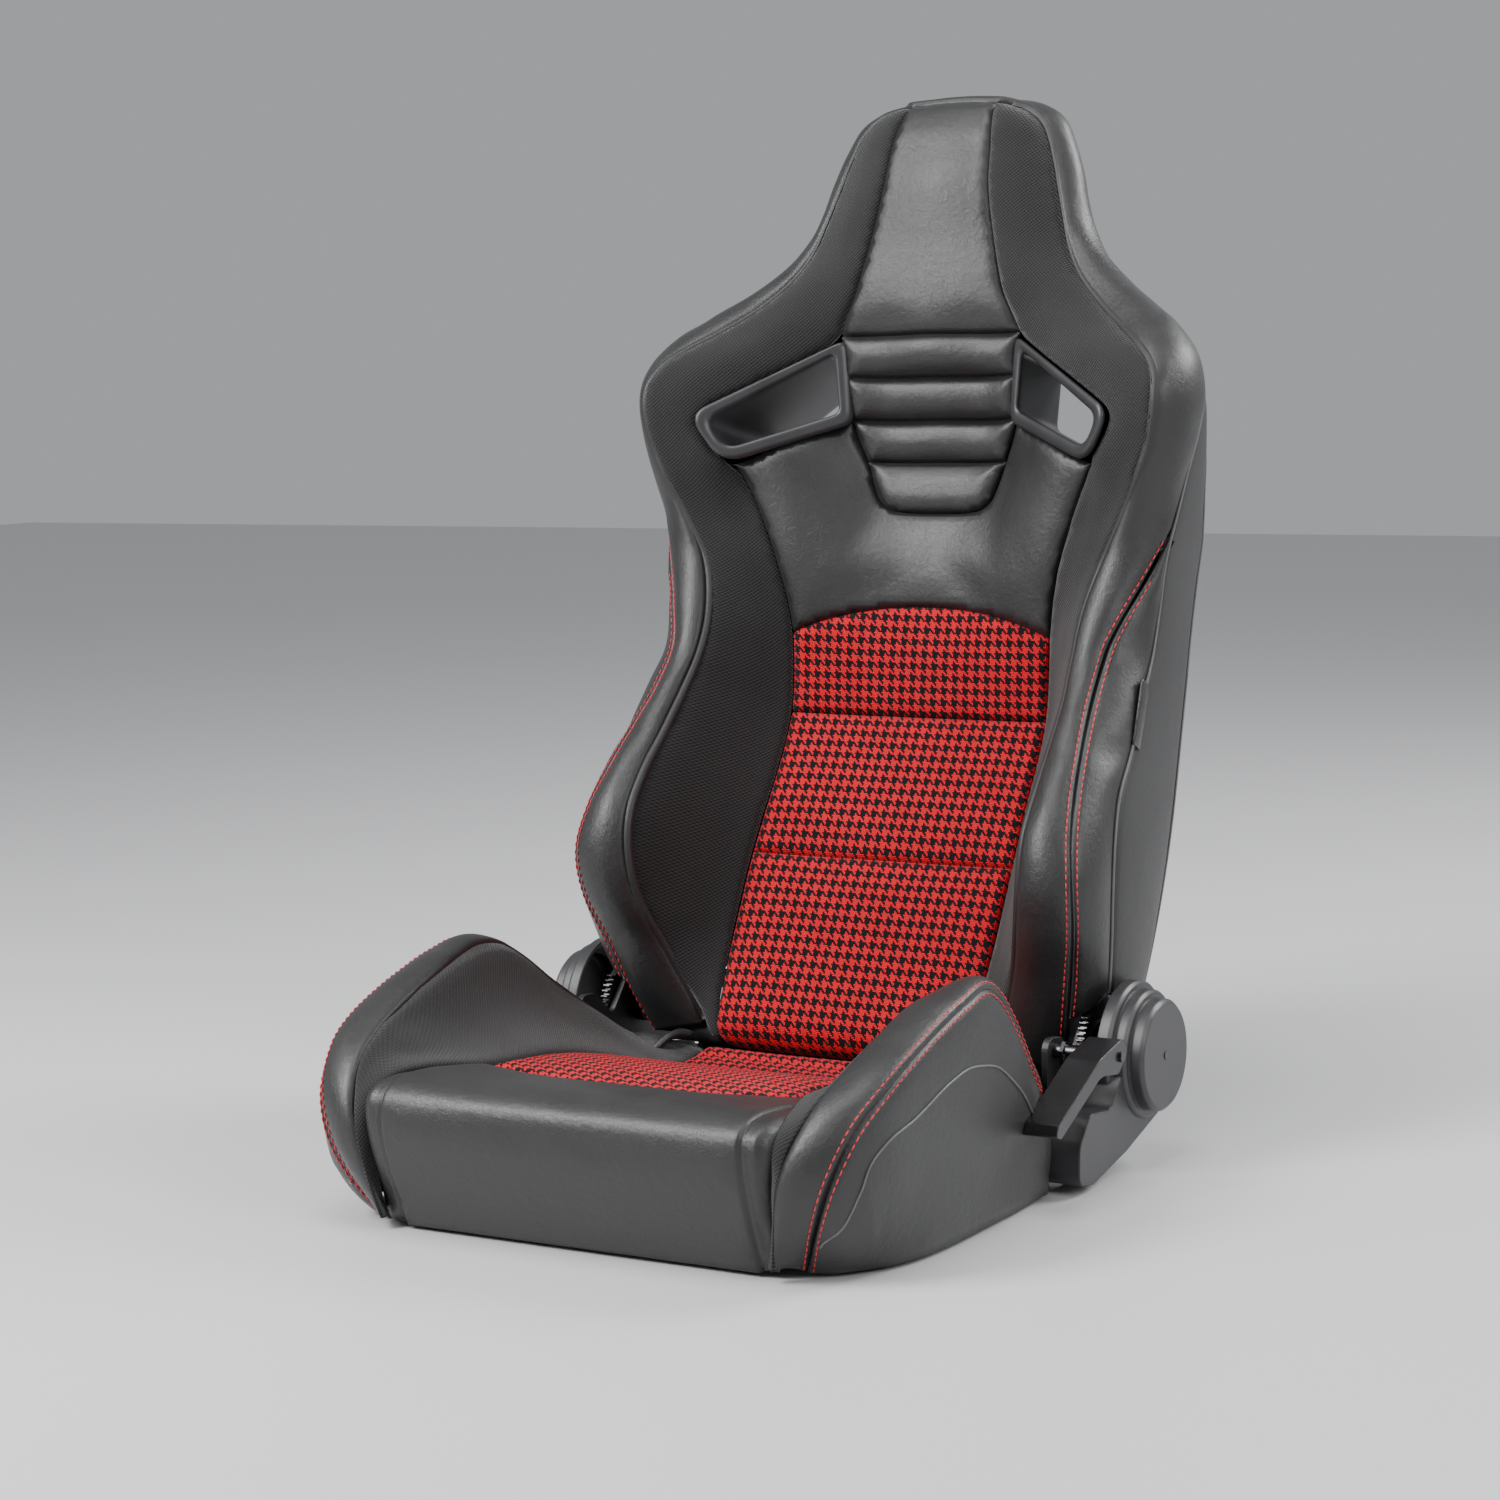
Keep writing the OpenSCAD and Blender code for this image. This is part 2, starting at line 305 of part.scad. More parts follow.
// shoulder: outside and above the slot
function ui(v) = lookup(v, [[499, 192], [508, 196], [520, 204], [540, 215], [549, 219], [560, 208], [600, 148], [630, 104], [640, 90]]);
module shoulder_pad(side) color([0.08, 0.08, 0.085]) mx(side) back() loft([for (v = [499, 508, 520, 540, 549, 560, 575, 590, 610, 634]) let (a = ui(v), f = fu(v), g = fw(v), s = su(v), t = sw(v), r = ru(v), q = rw(v), c = min(slot_a + slot_b * a + slot_c * v, g - 2))
    [[a, v, c], [lerp(a, f, 0.5), v, lerp(c, g, 0.6)], [f, v, g], [(f + s) / 2, v, (g + t) / 2 + 4], [s, v, t], [r, v, q + 0.5], [r - 7, v, q + 0.5], [r - 8, v, -36], [a, v, -36]]]);
module headrest_pad() color([0.09, 0.09, 0.095]) back() loft([for (v = [634.6, 645, 658, 675, 691, 710, 731, 755, 778, 800, 820, 838, 850, 858]) let (f = fu(v), g = fw(v), s = su(v), t = sw(v), r = ru(v), q = rw(v), c = wc(v))
    [[0, v, c], [f * 0.5, v, lerp(c, g, 0.2)], [f * 0.8, v, lerp(c, g, 0.6)], [f, v, g], [s, v, t], [r, v, q + 0.5], [r - 8, v, q + 0.5], [r - 9, v, max(q, -43)],
     [-r + 9, v, max(q, -43)], [-r + 8, v, q + 0.5], [-r, v, q + 0.5], [-s, v, t], [-f, v, g], [-f * 0.8, v, lerp(c, g, 0.6)], [-f * 0.5, v, lerp(c, g, 0.2)]]]);

// ---- harness slots ----
module harness_bezel(side) color([0.12, 0.12, 0.125]) mx(side) back() difference() {
    intersection() {
        union() {
            translate([0, 0, -108]) linear_extrude(height = 200) polygon(rpoly(slot_hole, slot_r));
            intersection() {
                translate([0, 0, -60]) linear_extrude(height = 160) polygon(rpoly(slot_out, [12, 10, 20, 18]));
                difference() { translate([0, 0, -200]) cube([300, 700, 400]); below_slot_plane(-2.2); }
            }
        }
        below_slot_plane(4);
    }
    translate([0, 0, -120]) linear_extrude(height = 300) polygon(rpoly(slot_in, [7, 5, 13, 12]));
}

// ---- backrest frame ----
module back_frame_side(side) color([0.06, 0.06, 0.065]) mx(side) back() difference() {
    translate([192, 20, -72]) cube([26, 470, 34]);
    translate([190, 18, -69.5]) cube([25.5, 474, 29]);
    for (v = [100, 150]) translate([210, v, -49]) rotate([0, 90, 0]) cylinder(h = 10, r = 5.2, $fn = 32);
}
hoop = [[204, 470, -55], [210, 492, -55], [228, 512, -56], [240, 535, -57], [241, 560, -57], [228, 590, -57], [200, 622, -58], [160, 650, -60], [120, 676, -62], [94, 706, -63], [82, 745, -63], [76, 785, -62], [64, 806, -60], [40, 814, -58], [0, 816, -57]];
module back_frame_hoop() color([0.06, 0.06, 0.065]) back() difference() {
    sweep(concat(hoop, [for (i = [len(hoop) - 2 : -1 : 0]) [-hoop[i][0], hoop[i][1], hoop[i][2]]]), frame_tube_d / 2, 12, [0, 0, 1]);
    for (s = [-1, 1]) translate([s * 204 - 14, 455, -74]) cube([28, 35.1, 40]);
}
module back_lower_tube() color([0.06, 0.06, 0.065]) back() translate([-191.9, 34, -55]) rotate([0, 90, 0]) difference() { cylinder(h = 383.8, r = 9); translate([0, 0, -1]) cylinder(h = 386, r = 7.5); }
module back_upper_tube() color([0.06, 0.06, 0.065]) back() translate([-191.9, 478, -86]) rotate([0, 90, 0]) difference() { cylinder(h = 383.8, r = 8); translate([0, 0, -1]) cylinder(h = 386, r = 6.5); }
// zigzag wires across the backrest
module back_springs() color([0.3, 0.3, 0.32]) back() for (v = [110, 190, 270, 350, 430])
    sweep([for (i = [0 : 18]) [-189 + i * 21, v + (i % 4 < 2 ? -14 : 14), -78.5]], spring_wire_d / 2, 6, [0, 1, 0.2]);

// ---- rear cover: two side panels and a rear panel, sewn together at the rear corners ----
cover_vs = [49, 92, 150, 212, 274, 340, 385, 430, 465, 505, 545, 590, 632, 660, 686, 712, 740, 782, 812, 838, 853];
// the side panels stand out around the recliner arms
function swell(v) = lookup(v, [[49, 8], [172, 8], [225, 2]]);
function mid_x(v) = lerp(ru(v), bu(v), 0.35) + swell(v);
function mid_w(v) = lerp(rw(v), bw(v), 0.5);
function edge_x(v) = lerp(ru(v), bu(v), 0.9) + swell(v) - 2;
function edge_w(v) = lerp(rw(v), bw(v), 0.9);
module side_cover(side) color([0.08, 0.08, 0.085]) mx(side) back() loft([for (v = cover_vs) let (k = cover_wall)
    [[ru(v), v, rw(v)], [mid_x(v), v, mid_w(v)], [edge_x(v), v, edge_w(v)], [edge_x(v) - k, v, edge_w(v)], [mid_x(v) - k, v, mid_w(v)], [ru(v) - k, v, rw(v)]]]);
module rear_cover() color([0.08, 0.08, 0.085]) back() difference() {
    loft([for (v = cover_vs) let (k = cover_wall, x = edge_x(v), z = edge_w(v) - 0.2, b = min(bu(v), x - 2), w = bw(v))
        [[x, v, z], [b - 8, v, w - 3], [b * 0.6, v, w - 9], [0, v, w - 12], [-b * 0.6, v, w - 9], [-b + 8, v, w - 3], [-x, v, z],
         [-x + k, v, z], [-b + 10, v, w - 3 + k], [-b * 0.6, v, w - 9 + k], [0, v, w - 12 + k], [b * 0.6, v, w - 9 + k], [b - 10, v, w - 3 + k], [x - k, v, z]]]);
    for (s = [-1, 1]) mx(s) translate([0, 0, -150]) linear_extrude(height = 120) polygon(rpoly(slot_gap, slot_r));
}
// folded fabric tab sewn into the side seam
module side_tab() color([0.03, 0.03, 0.03]) back() translate([248.9, 290, 8.5]) rotate([-13, 3.2, 1.9]) translate([0, -30, -8.5]) cube([1.8, 60, 17]);

base_rail(1);  // base_rail_left
base_rail(-1);  // base_rail_right
front_cross_tube();
rear_cross_tube();
cushion_springs();
spring_clips();
weld_nuts();
recliner_plate(1);  // recliner_plate_left
recliner_plate(-1);  // recliner_plate_right
plate_bolts();
hinge_pin(1);  // hinge_pin_left
hinge_pin(-1);  // hinge_pin_right
pawl_pins();
assist_spring(1);  // assist_spring_left
assist_spring(-1);  // assist_spring_right
recliner_cover(1);  // recliner_cover_left
recliner_cover(-1);  // recliner_cover_right
cover_screws();
release_cable();
cushion_front_pad();
cushion_centre_pad();
cushion_bolster(1);  // cushion_bolster_left
cushion_bolster(-1);  // cushion_bolster_right
release_lever();
lever_shaft();
lever_screw();
pawl(1);  // pawl_left
pawl(-1);  // pawl_right
recliner_arm(1);  // recliner_arm_left
recliner_arm(-1);  // recliner_arm_right
hinge_bush(1);  // hinge_bush_left
hinge_bush(-1);  // hinge_bush_right
arm_bolts();
back_frame_side(1);  // back_frame_side_left
back_frame_side(-1);  // back_frame_side_right
back_frame_hoop();
back_lower_tube();
back_upper_tube();
back_springs();
back_centre_pad();
back_bolster(1);  // back_bolster_left
back_bolster(-1);  // back_bolster_right
upper_back_pad();
shoulder_pad(1);  // shoulder_pad_left
shoulder_pad(-1);  // shoulder_pad_right
headrest_pad();
harness_bezel(1);  // harness_bezel_left
harness_bezel(-1);  // harness_bezel_right
side_cover(1);  // side_cover_left
side_cover(-1);  // side_cover_right
rear_cover();
side_tab();
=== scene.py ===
# Racing seat: upholstery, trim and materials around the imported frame.
# Lengths are worked out in millimetres and turned into metres where a mesh is made.
import bpy, json, math
import numpy as np
from mathutils import Vector, Matrix
from mathutils.geometry import delaunay_2d_cdt


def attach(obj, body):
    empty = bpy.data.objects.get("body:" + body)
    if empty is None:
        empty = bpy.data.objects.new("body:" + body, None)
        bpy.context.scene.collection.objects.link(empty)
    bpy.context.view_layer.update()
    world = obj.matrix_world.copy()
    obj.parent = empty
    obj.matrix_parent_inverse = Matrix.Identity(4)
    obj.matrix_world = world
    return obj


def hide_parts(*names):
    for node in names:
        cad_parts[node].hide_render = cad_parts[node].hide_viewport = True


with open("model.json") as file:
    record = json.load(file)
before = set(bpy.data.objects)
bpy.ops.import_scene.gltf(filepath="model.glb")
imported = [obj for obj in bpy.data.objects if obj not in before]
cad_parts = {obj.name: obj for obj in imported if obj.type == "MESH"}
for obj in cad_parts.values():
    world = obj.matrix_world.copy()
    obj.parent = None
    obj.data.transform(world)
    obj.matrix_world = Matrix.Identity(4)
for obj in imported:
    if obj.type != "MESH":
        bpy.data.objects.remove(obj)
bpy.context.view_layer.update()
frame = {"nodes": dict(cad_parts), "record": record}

LEAN = math.radians(14)
SN, CS = math.sin(LEAN), math.cos(LEAN)
HY, HZ = 240.0, 95.0
rng = np.random.default_rng(7)


# ------------------------------------------------------------------ helpers
def back(p):
    """Backrest frame (u across, v up the back, w forwards) to the row frame."""
    p = np.asarray(p, float)
    u, v, w = p[..., 0], p[..., 1], p[..., 2]
    return np.stack([u, HY + v * SN - w * CS, HZ + v * CS + w * SN], -1)


def hermite(t, y, q):
    """Smooth curve through y at stations t, read at q; columns of y together."""
    t = np.asarray(t, float); y = np.asarray(y, float); q = np.asarray(q, float)
    one = y.ndim == 1
    if one: y = y[:, None]
    h = np.diff(t)[:, None]; d = np.diff(y, axis=0) / h
    m = np.zeros_like(y)
    m[1:-1] = (d[:-1] * h[1:] + d[1:] * h[:-1]) / (h[1:] + h[:-1])
    m[0], m[-1] = d[0], d[-1]
    i = np.clip(np.searchsorted(t, q, side="right") - 1, 0, len(t) - 2)
    hh = h[i]; s = ((q - t[i])[:, None]) / hh; s = np.clip(s, -0.2, 1.2)
    r = (2*s**3 - 3*s**2 + 1)*y[i] + (s**3 - 2*s**2 + s)*hh*m[i] + (-2*s**3 + 3*s**2)*y[i+1] + (s**3 - s**2)*hh*m[i+1]
    return r[:, 0] if one else r


def resample(p, step=None, n=None, closed=False):
    p = np.asarray(p, float)
    if closed: p = np.vstack([p, p[:1]])
    s = np.concatenate([[0], np.cumsum(np.linalg.norm(np.diff(p, axis=0), axis=1))])
    keep = np.concatenate([[True], np.diff(s) > 1e-9]); p, s = p[keep], s[keep]
    if n is None: n = max(2, int(round(s[-1] / step)) + 1)
    q = np.linspace(0, s[-1], n)
    r = np.stack([np.interp(q, s, p[:, k]) for k in range(p.shape[1])], -1)
    return r[:-1] if closed else r


def spline(p, step):
    """Smooth curve through the points, at even steps."""
    p = np.asarray(p, float)
    s = np.concatenate([[0], np.cumsum(np.linalg.norm(np.diff(p, axis=0), axis=1))])
    q = np.linspace(0, s[-1], max(8, int(s[-1] / 1.5)))
    return resample(hermite(s, p, q), step)


def smooth_corner(p, i, r, k=6):
    """Round corner i of a polyline."""
    a, b, c = (np.asarray(p[j], float) for j in (i - 1, i, (i + 1) % len(p)))
    ua, uc_ = (a - b) / np.linalg.norm(a - b), (c - b) / np.linalg.norm(c - b)
    t = np.linspace(0, 1, k)[:, None]
    A, C_ = b + ua * r, b + uc_ * r
    return (1-t)**2 * A + 2*t*(1-t) * b + t**2 * C_


def rounded(poly, radii):
    out = []
    for i, r in enumerate(radii):
        out += list(smooth_corner(poly, i, r, 8)) if r > 0 else [np.asarray(poly[i], float)]
    return np.array(out)


def new_mesh(name, verts, faces, mat=None, smooth=True, uv=None):
    me = bpy.data.meshes.new(name)
    me.from_pydata([tuple(v) for v in np.asarray(verts) * 0.001], [], [tuple(int(i) for i in f) for f in faces])
    me.validate(); me.update()
    o = bpy.data.objects.new(name, me)
    bpy.context.scene.collection.objects.link(o)
    if smooth: me.polygons.foreach_set("use_smooth", [True] * len(me.polygons))
    if mat: me.materials.append(mat)
    if uv is not None:
        layer = me.uv_layers.new(name="cloth")
        idx = np.zeros(len(me.loops), int); me.loops.foreach_get("vertex_index", idx)
        layer.data.foreach_set("uv", (np.asarray(uv)[idx] * 0.001).ravel())
    return o


def normals_of(V, F):
    N = np.zeros_like(V)
    for f in F:
        f = list(f)
        a, b, c = V[f[0]], V[f[1]], V[f[-1]]
        n = np.cross(b - a, c - a)
        for i in f: N[i] += n
    l = np.linalg.norm(N, axis=1, keepdims=True); l[l < 1e-12] = 1
    return N / l


def fast_normals(V, F):
    F = np.asarray(F)
    a, b, c = V[F[:, 0]], V[F[:, 1]], V[F[:, -1]]
    n = np.cross(b - a, c - a)
    if F.shape[1] == 4: n = n + np.cross(V[F[:, 2]] - b, V[F[:, 3]] - b)
    N = np.zeros_like(V)
    for k in range(F.shape[1]): np.add.at(N, F[:, k], n)
    l = np.linalg.norm(N, axis=1, keepdims=True); l[l < 1e-12] = 1
    return N / l


def seg_dist(P, L, closed=False):
    """Distance from each P to a polyline."""
    A = L if closed else L[:-1]
    B = np.roll(L, -1, 0) if closed else L[1:]
    best = np.full(len(P), 1e9)
    for a, b in zip(A, B):
        ab = b - a; t = np.clip(((P - a) @ ab) / max(ab @ ab, 1e-12), 0, 1)
        best = np.minimum(best, np.linalg.norm(P - (a + t[:, None] * ab), axis=1))
    return best


def tuck(d, sink=4.0, r=9.0, crown=0.0, wide=40.0):
    """Height of padded cloth at distance d from its seam."""
    t = np.clip(d / r, 0, 1)
    h = -sink * (1 - np.sqrt(np.clip(1 - (1 - t)**2, 0, 1)))
    if crown: h = h + crown * np.sin(np.clip(d / wide, 0, 1) * math.pi / 2)
    return h


def thicken(V, F, border, t):
    """Close an open sheet: a back face t behind it and a wall along its border loops."""
    N = fast_normals(V, F); n = len(V)
    W = np.vstack([V, V - N * t])
    F = [list(f) for f in F]
    G = F + [[i + n for i in reversed(f)] for f in F]
    for loop in border:
        m = len(loop)
        for k in range(m):
            a, b = loop[k], loop[(k + 1) % m]
            G.append([b, a, a + n, b + n])
    return W, G


def border_loops(F):
    e = {}
    for f in F:
        m = len(f)
        for k in range(m):
            a, b = f[k], f[(k + 1) % m]
            e[(a, b)] = e.get((a, b), 0) + 1
    nxt = {a: b for (a, b) in e if (b, a) not in e}
    loops = []
    while nxt:
        a0 = next(iter(nxt)); loop = [a0]; a = nxt.pop(a0)
        while a != a0 and a in nxt:
            loop.append(a); a = nxt.pop(a)
        loops.append(loop)
    return loops


def drape(V, F, cap, stiff, seed):
    """Let the sheet settle as stuffed cloth, pinned along its seams, and keep at most cap mm of the change."""
    if cap <= 0: return V
    me = bpy.data.meshes.new("sheet"); me.from_pydata([tuple(v) for v in V * 0.001], [], [tuple(int(i) for i in f) for f in F]); me.update()
    o = bpy.data.objects.new("sheet", me); bpy.context.scene.collection.objects.link(o)
    rim = sorted({i for loop in border_loops([list(f) for f in F]) for i in loop})
    g = o.vertex_groups.new(name="pin"); g.add([int(i) for i in rim], 1.0, "REPLACE")
    md = o.modifiers.new("cloth", "CLOTH"); c = md.settings
    c.quality = 5; c.mass = 0.15; c.tension_stiffness = c.compression_stiffness = stiff; c.shear_stiffness = stiff * 0.4; c.bending_stiffness = 0.25
    c.tension_damping = c.compression_damping = 12; c.air_damping = 3.0
    c.vertex_group_mass = "pin"; c.pin_stiffness = 1.0
    c.use_pressure = True; c.uniform_pressure_force = 3.0; c.shrink_min = -0.006; c.shrink_max = -0.006
    c.effector_weights.gravity = 0.0
    md.collision_settings.use_collision = False; md.collision_settings.use_self_collision = False
    md.point_cache.frame_start = 1; md.point_cache.frame_end = 20
    sc = bpy.context.scene; dg = None
    for f in range(1, 21): sc.frame_set(f)
    dg = bpy.context.evaluated_depsgraph_get()
    em = o.evaluated_get(dg).to_mesh()
    W_ = np.zeros(len(em.vertices) * 3); em.vertices.foreach_get("co", W_); W_ = W_.reshape(-1, 3) * 1000
    o.evaluated_get(dg).to_mesh_clear(); sc.frame_set(1)
    bpy.data.objects.remove(o); bpy.data.meshes.remove(me)
    if len(W_) != len(V) or not np.isfinite(W_).all(): return V
    D = W_ - V; Fa = np.asarray(F); k = Fa.shape[1]
    A = Fa.ravel(); B = np.roll(Fa, -1, 1).ravel(); deg = np.bincount(np.r_[A, B], minlength=len(V))[:, None]
    fix = np.zeros(len(V), bool); fix[rim] = True
    for _ in range(5):
        S = np.zeros_like(D); np.add.at(S, A, D[B]); np.add.at(S, B, D[A])
        D = 0.35 * D + 0.65 * S / np.maximum(deg, 1); D[fix] = 0
    l = np.linalg.norm(D, axis=1, keepdims=True)
    D = D * (cap * np.tanh(l / cap) / np.maximum(l, 1e-9))
    return V + D


def finish_panel(name, V, F, mat, body, t=6.0, uv=None, soft=2.0, full=False):
    F = [list(map(int, f)) for f in F]
    V = drape(np.asarray(V, float), F, soft, 12.0, 0)
    loops = border_loops(F)
    W, G = thicken(V, F, loops, t)
    if body == "base": W[:, 2] = np.maximum(W[:, 2], 1.0)
    o = new_mesh(name, W, G, mat, uv=None if uv is None else np.vstack([uv, uv]))
    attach(o, body)
    return (o, V) if full else o


def flat_panel(name, outline, holes, surf, mat, body, step=6.0, height=None, side=1, t=6.0, lines=(), extra=None, post=None, soft=2.2):
    """A sewn panel: a closed outline in a flat domain, lifted by surf(domain) to the row frame.
    height(d) moves the cloth along its normal by the distance d to the seams."""
    outline = resample(outline, step * 0.8, closed=True)
    hs = [resample(h, step * 0.8, closed=True) for h in holes]
    lo, hi = outline.min(0), outline.max(0)
    gx = np.arange(lo[0], hi[0] + step, step); gy = np.arange(lo[1], hi[1] + step, step * 0.866)
    pts = []
    for j, y in enumerate(gy):
        for x in gx + (step / 2 if j % 2 else 0): pts.append((x, y))
    pts = np.array(pts)

    def inside(P, poly):
        x, y = P[:, 0], P[:, 1]; c = np.zeros(len(P), bool)
        for a, b in zip(poly, np.roll(poly, -1, 0)):
            k = (a[1] > y) != (b[1] > y)
            with np.errstate(divide="ignore", invalid="ignore"):
                xx = (b[0] - a[0]) * (y - a[1]) / (b[1] - a[1] + 1e-30) + a[0]
            c ^= k & (x < xx)
        return c
    ok = inside(pts, outline)
    for h in hs: ok &= ~inside(pts, h)
    d = seg_dist(pts, outline, True)
    for h in hs: d = np.minimum(d, seg_dist(pts, h, True))
    pts = pts[ok & (d > step * 0.5)]
    rims = [outline] + hs
    # the rim points and the inner grid points; the rims become constrained edges
    allp = [*rims, pts]
    P = np.vstack(allp)
    edges = []; base = 0
    for r in rims:
        edges += [(base + k, base + (k + 1) % len(r)) for k in range(len(r))]; base += len(r)
    r_ = delaunay_2d_cdt([Vector(p) for p in P], edges, [], 0, 1e-5)
    Q = np.array([tuple(v) for v in r_[0]]); F = np.array([list(f) for f in r_[2]])
    cen = Q[F].mean(1)
    keep = inside(cen, outline)
    for h in hs: keep &= ~inside(cen, h)
    F = F[keep]
    used = np.unique(F); remap = -np.ones(len(Q), int); remap[used] = np.arange(len(used))
    Q = Q[used]; F = remap[F]
    V = surf(Q)
    if side < 0: V = V * [-1, 1, 1]
    # faces look outwards
    N = fast_normals(V, F)
    probe = surf_out(V)
    if (N * probe).sum() < 0: F = F[:, ::-1]
    N = fast_normals(V, F)
    V3 = V
    d = seg_dist(Q, outline, True)
    for h in hs: d = np.minimum(d, seg_dist(Q, h, True))
    H = (height or tuck)(d)
    for L, depth, width in lines:
        dl = seg_dist(Q, np.asarray(L, float))
        H = H - depth * np.exp(-(dl / width)**2)
    if extra is not None: H = H + extra(Q)
    V = V3 + N * H[:, None]
    if post is not None: V = post(V, Q)
    uv = Q * [side, 1]
    return finish_panel(name, V, F, mat, body, t, uv=uv, soft=soft)


_out = [Vector((0, 0, 1))]
def surf_out(V):
    return np.array(_out[0])[None, :] * np.ones((len(V), 1))


def grid_panel(name, G, mat, body, seams=(1, 1, 1, 1), crown=(1.5, 25.0), out=None, t=6.0, extra=None, uvq=None, rise=0.0, soft=2.2):
    """A sewn panel lofted through rows G[i][j]; seams gives (sink, radius) for row start, row end, column start, column end, or 0.
    out(V) points outwards; the faces are turned to it."""
    G = np.asarray(G, float); n, m = G.shape[:2]
    V = G.reshape(-1, 3)
    F = np.array([[i * m + j, i * m + j + 1, (i + 1) * m + j + 1, (i + 1) * m + j] for i in range(n - 1) for j in range(m - 1)])
    N = fast_normals(V, F)
    if (N * out(V)).sum() < 0: F = F[:, ::-1]; N = -N
    a = np.concatenate([np.zeros((1, m)), np.cumsum(np.linalg.norm(np.diff(G, axis=0), axis=2), axis=0)], 0)
    b = np.concatenate([np.zeros((n, 1)), np.cumsum(np.linalg.norm(np.diff(G, axis=1), axis=2), axis=1)], 1)
    H = np.zeros(n * m); near = np.full((n, m), 1e3)
    for d, sm in ((a, seams[0]), (a[-1:] - a, seams[1]), (b, seams[2]), (b[:, -1:] - b, seams[3])):
        if not sm: continue
        sink, r = (4.0, 9.0) if sm == 1 else sm
        H = np.minimum(H, tuck(d.ravel(), sink, r)); near = np.minimum(near, d)
    H = H + crown[0] * np.sin(np.clip(near.ravel() / crown[1], 0, 1) * math.pi / 2) + rise
    if extra is not None: H = H + extra(a, b).ravel()
    V = V + N * H[:, None]
    uv = np.stack([b.ravel(), a.ravel()], -1) if uvq is None else np.asarray(uvq, float).reshape(-1, 2)
    o, V = finish_panel(name, V, F, mat, body, t, uv=uv, soft=soft, full=True)
    N = fast_normals(V, F)
    return o, V.reshape(n, m, 3), N.reshape(n, m, 3)


def arc3(A, M, B, m, q=0.5):
    """Quadratic curve through A, M (at q) and B, evenly divided; A, M, B are (n, 3)."""
    A, M, B = (np.asarray(x, float) for x in (A, M, B))
    la = np.linalg.norm(M - A, axis=-1); lb = np.linalg.norm(B - M, axis=-1)
    q = np.clip(la / np.maximum(la + lb, 1e-6), 0.2, 0.8)[:, None]
    out = []
    for t in np.linspace(0, 1, m):
        l0 = (t - q) * (t - 1) / (q * 1.0); l1 = t * (t - 1) / (q * (q - 1)); l2 = t * (t - q) / (1 - q)
        out.append(A * l0 + M * l1 + B * l2)
    return np.stack(out, 1)


def tube(name, path, r, mat, body, n=8, closed=False, pad=None, taper=0.0):
    path = np.asarray(path, float); k = len(path)
    d = np.gradient(path, axis=0) if not closed else (np.roll(path, -1, 0) - np.roll(path, 1, 0))
    d /= np.linalg.norm(d, axis=1, keepdims=True)
    ref = np.array([0.31, 0.22, 0.93]); a = np.cross(d[0], ref); a /= np.linalg.norm(a)
    V = []; prev = a
    for i in range(k):
        a = prev - d[i] * (prev @ d[i]); a /= np.linalg.norm(a); prev = a
        b = np.cross(d[i], a)
        rr = r
        if taper and not closed:
            e = min(i, k - 1 - i) * np.linalg.norm(path[1] - path[0]); rr = r * (1 - (1 - min(1, e / taper))**2) ** 0.5 if e < taper else r
            rr = max(rr, 0.15 * r)
        for j in range(n):
            t = 2 * math.pi * j / n
            V.append(path[i] + rr * (math.cos(t) * a + math.sin(t) * b))
    F = []
    rows = k if closed else k - 1
    for i in range(rows):
        for j in range(n):
            F.append([i * n + j, ((i + 1) % k) * n + j, ((i + 1) % k) * n + (j + 1) % n, i * n + (j + 1) % n][::-1])
    if not closed:
        F.append([j for j in range(n)][::-1]); F.append([(k - 1) * n + j for j in range(n)])
        F[-2] = F[-2][::-1]; F[-1] = F[-1][::-1]
    o = new_mesh(name, V, [f[::-1] for f in F], mat)
    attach(o, body)
    return o


def stitches(name, path, normal, mat, body, length=5.2, pitch=7.0, r=0.62):
    """Short thread stitches laid along a path, each a capsule that dips at its ends."""
    s = np.concatenate([[0], np.cumsum(np.linalg.norm(np.diff(path, axis=0), axis=1))])
    q = np.arange(pitch / 2, s[-1] - pitch / 2, pitch)
    at = lambda x, Y: np.stack([np.interp(x, s, Y[:, k]) for k in range(3)], -1)
    V, F = [], []
    prof = [(-0.5, 0.35, -0.9), (-0.36, 0.85, -0.1), (-0.12, 1.0, 0.35), (0.12, 1.0, 0.35), (0.36, 0.85, -0.1), (0.5, 0.35, -0.9)]
    for c in q:
        p0, p1 = at([c - 1.0], path)[0], at([c + 1.0], path)[0]
        d = p1 - p0; d /= np.linalg.norm(d); p = at([c], path)[0]; nn = at([c], normal)[0]
        nn = nn - d * (nn @ d); nn /= max(np.linalg.norm(nn), 1e-9); b = np.cross(d, nn)
        base = len(V)
        for (tt, rr, hh) in prof:
            for j in range(6):
                an = 2 * math.pi * j / 6
                V.append(p + d * tt * length + nn * (hh * r + 0.45 * r) + r * rr * (math.cos(an) * nn + math.sin(an) * b))
        m = len(prof)
        for i in range(m - 1):
            for j in range(6):
                F.append([base + i * 6 + j, base + i * 6 + (j + 1) % 6, base + (i + 1) * 6 + (j + 1) % 6, base + (i + 1) * 6 + j])
        F.append([base + j for j in range(6)][::-1]); F.append([base + (m - 1) * 6 + j for j in range(6)])
    o = new_mesh(name, V, F, mat)
    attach(o, body)
    return o


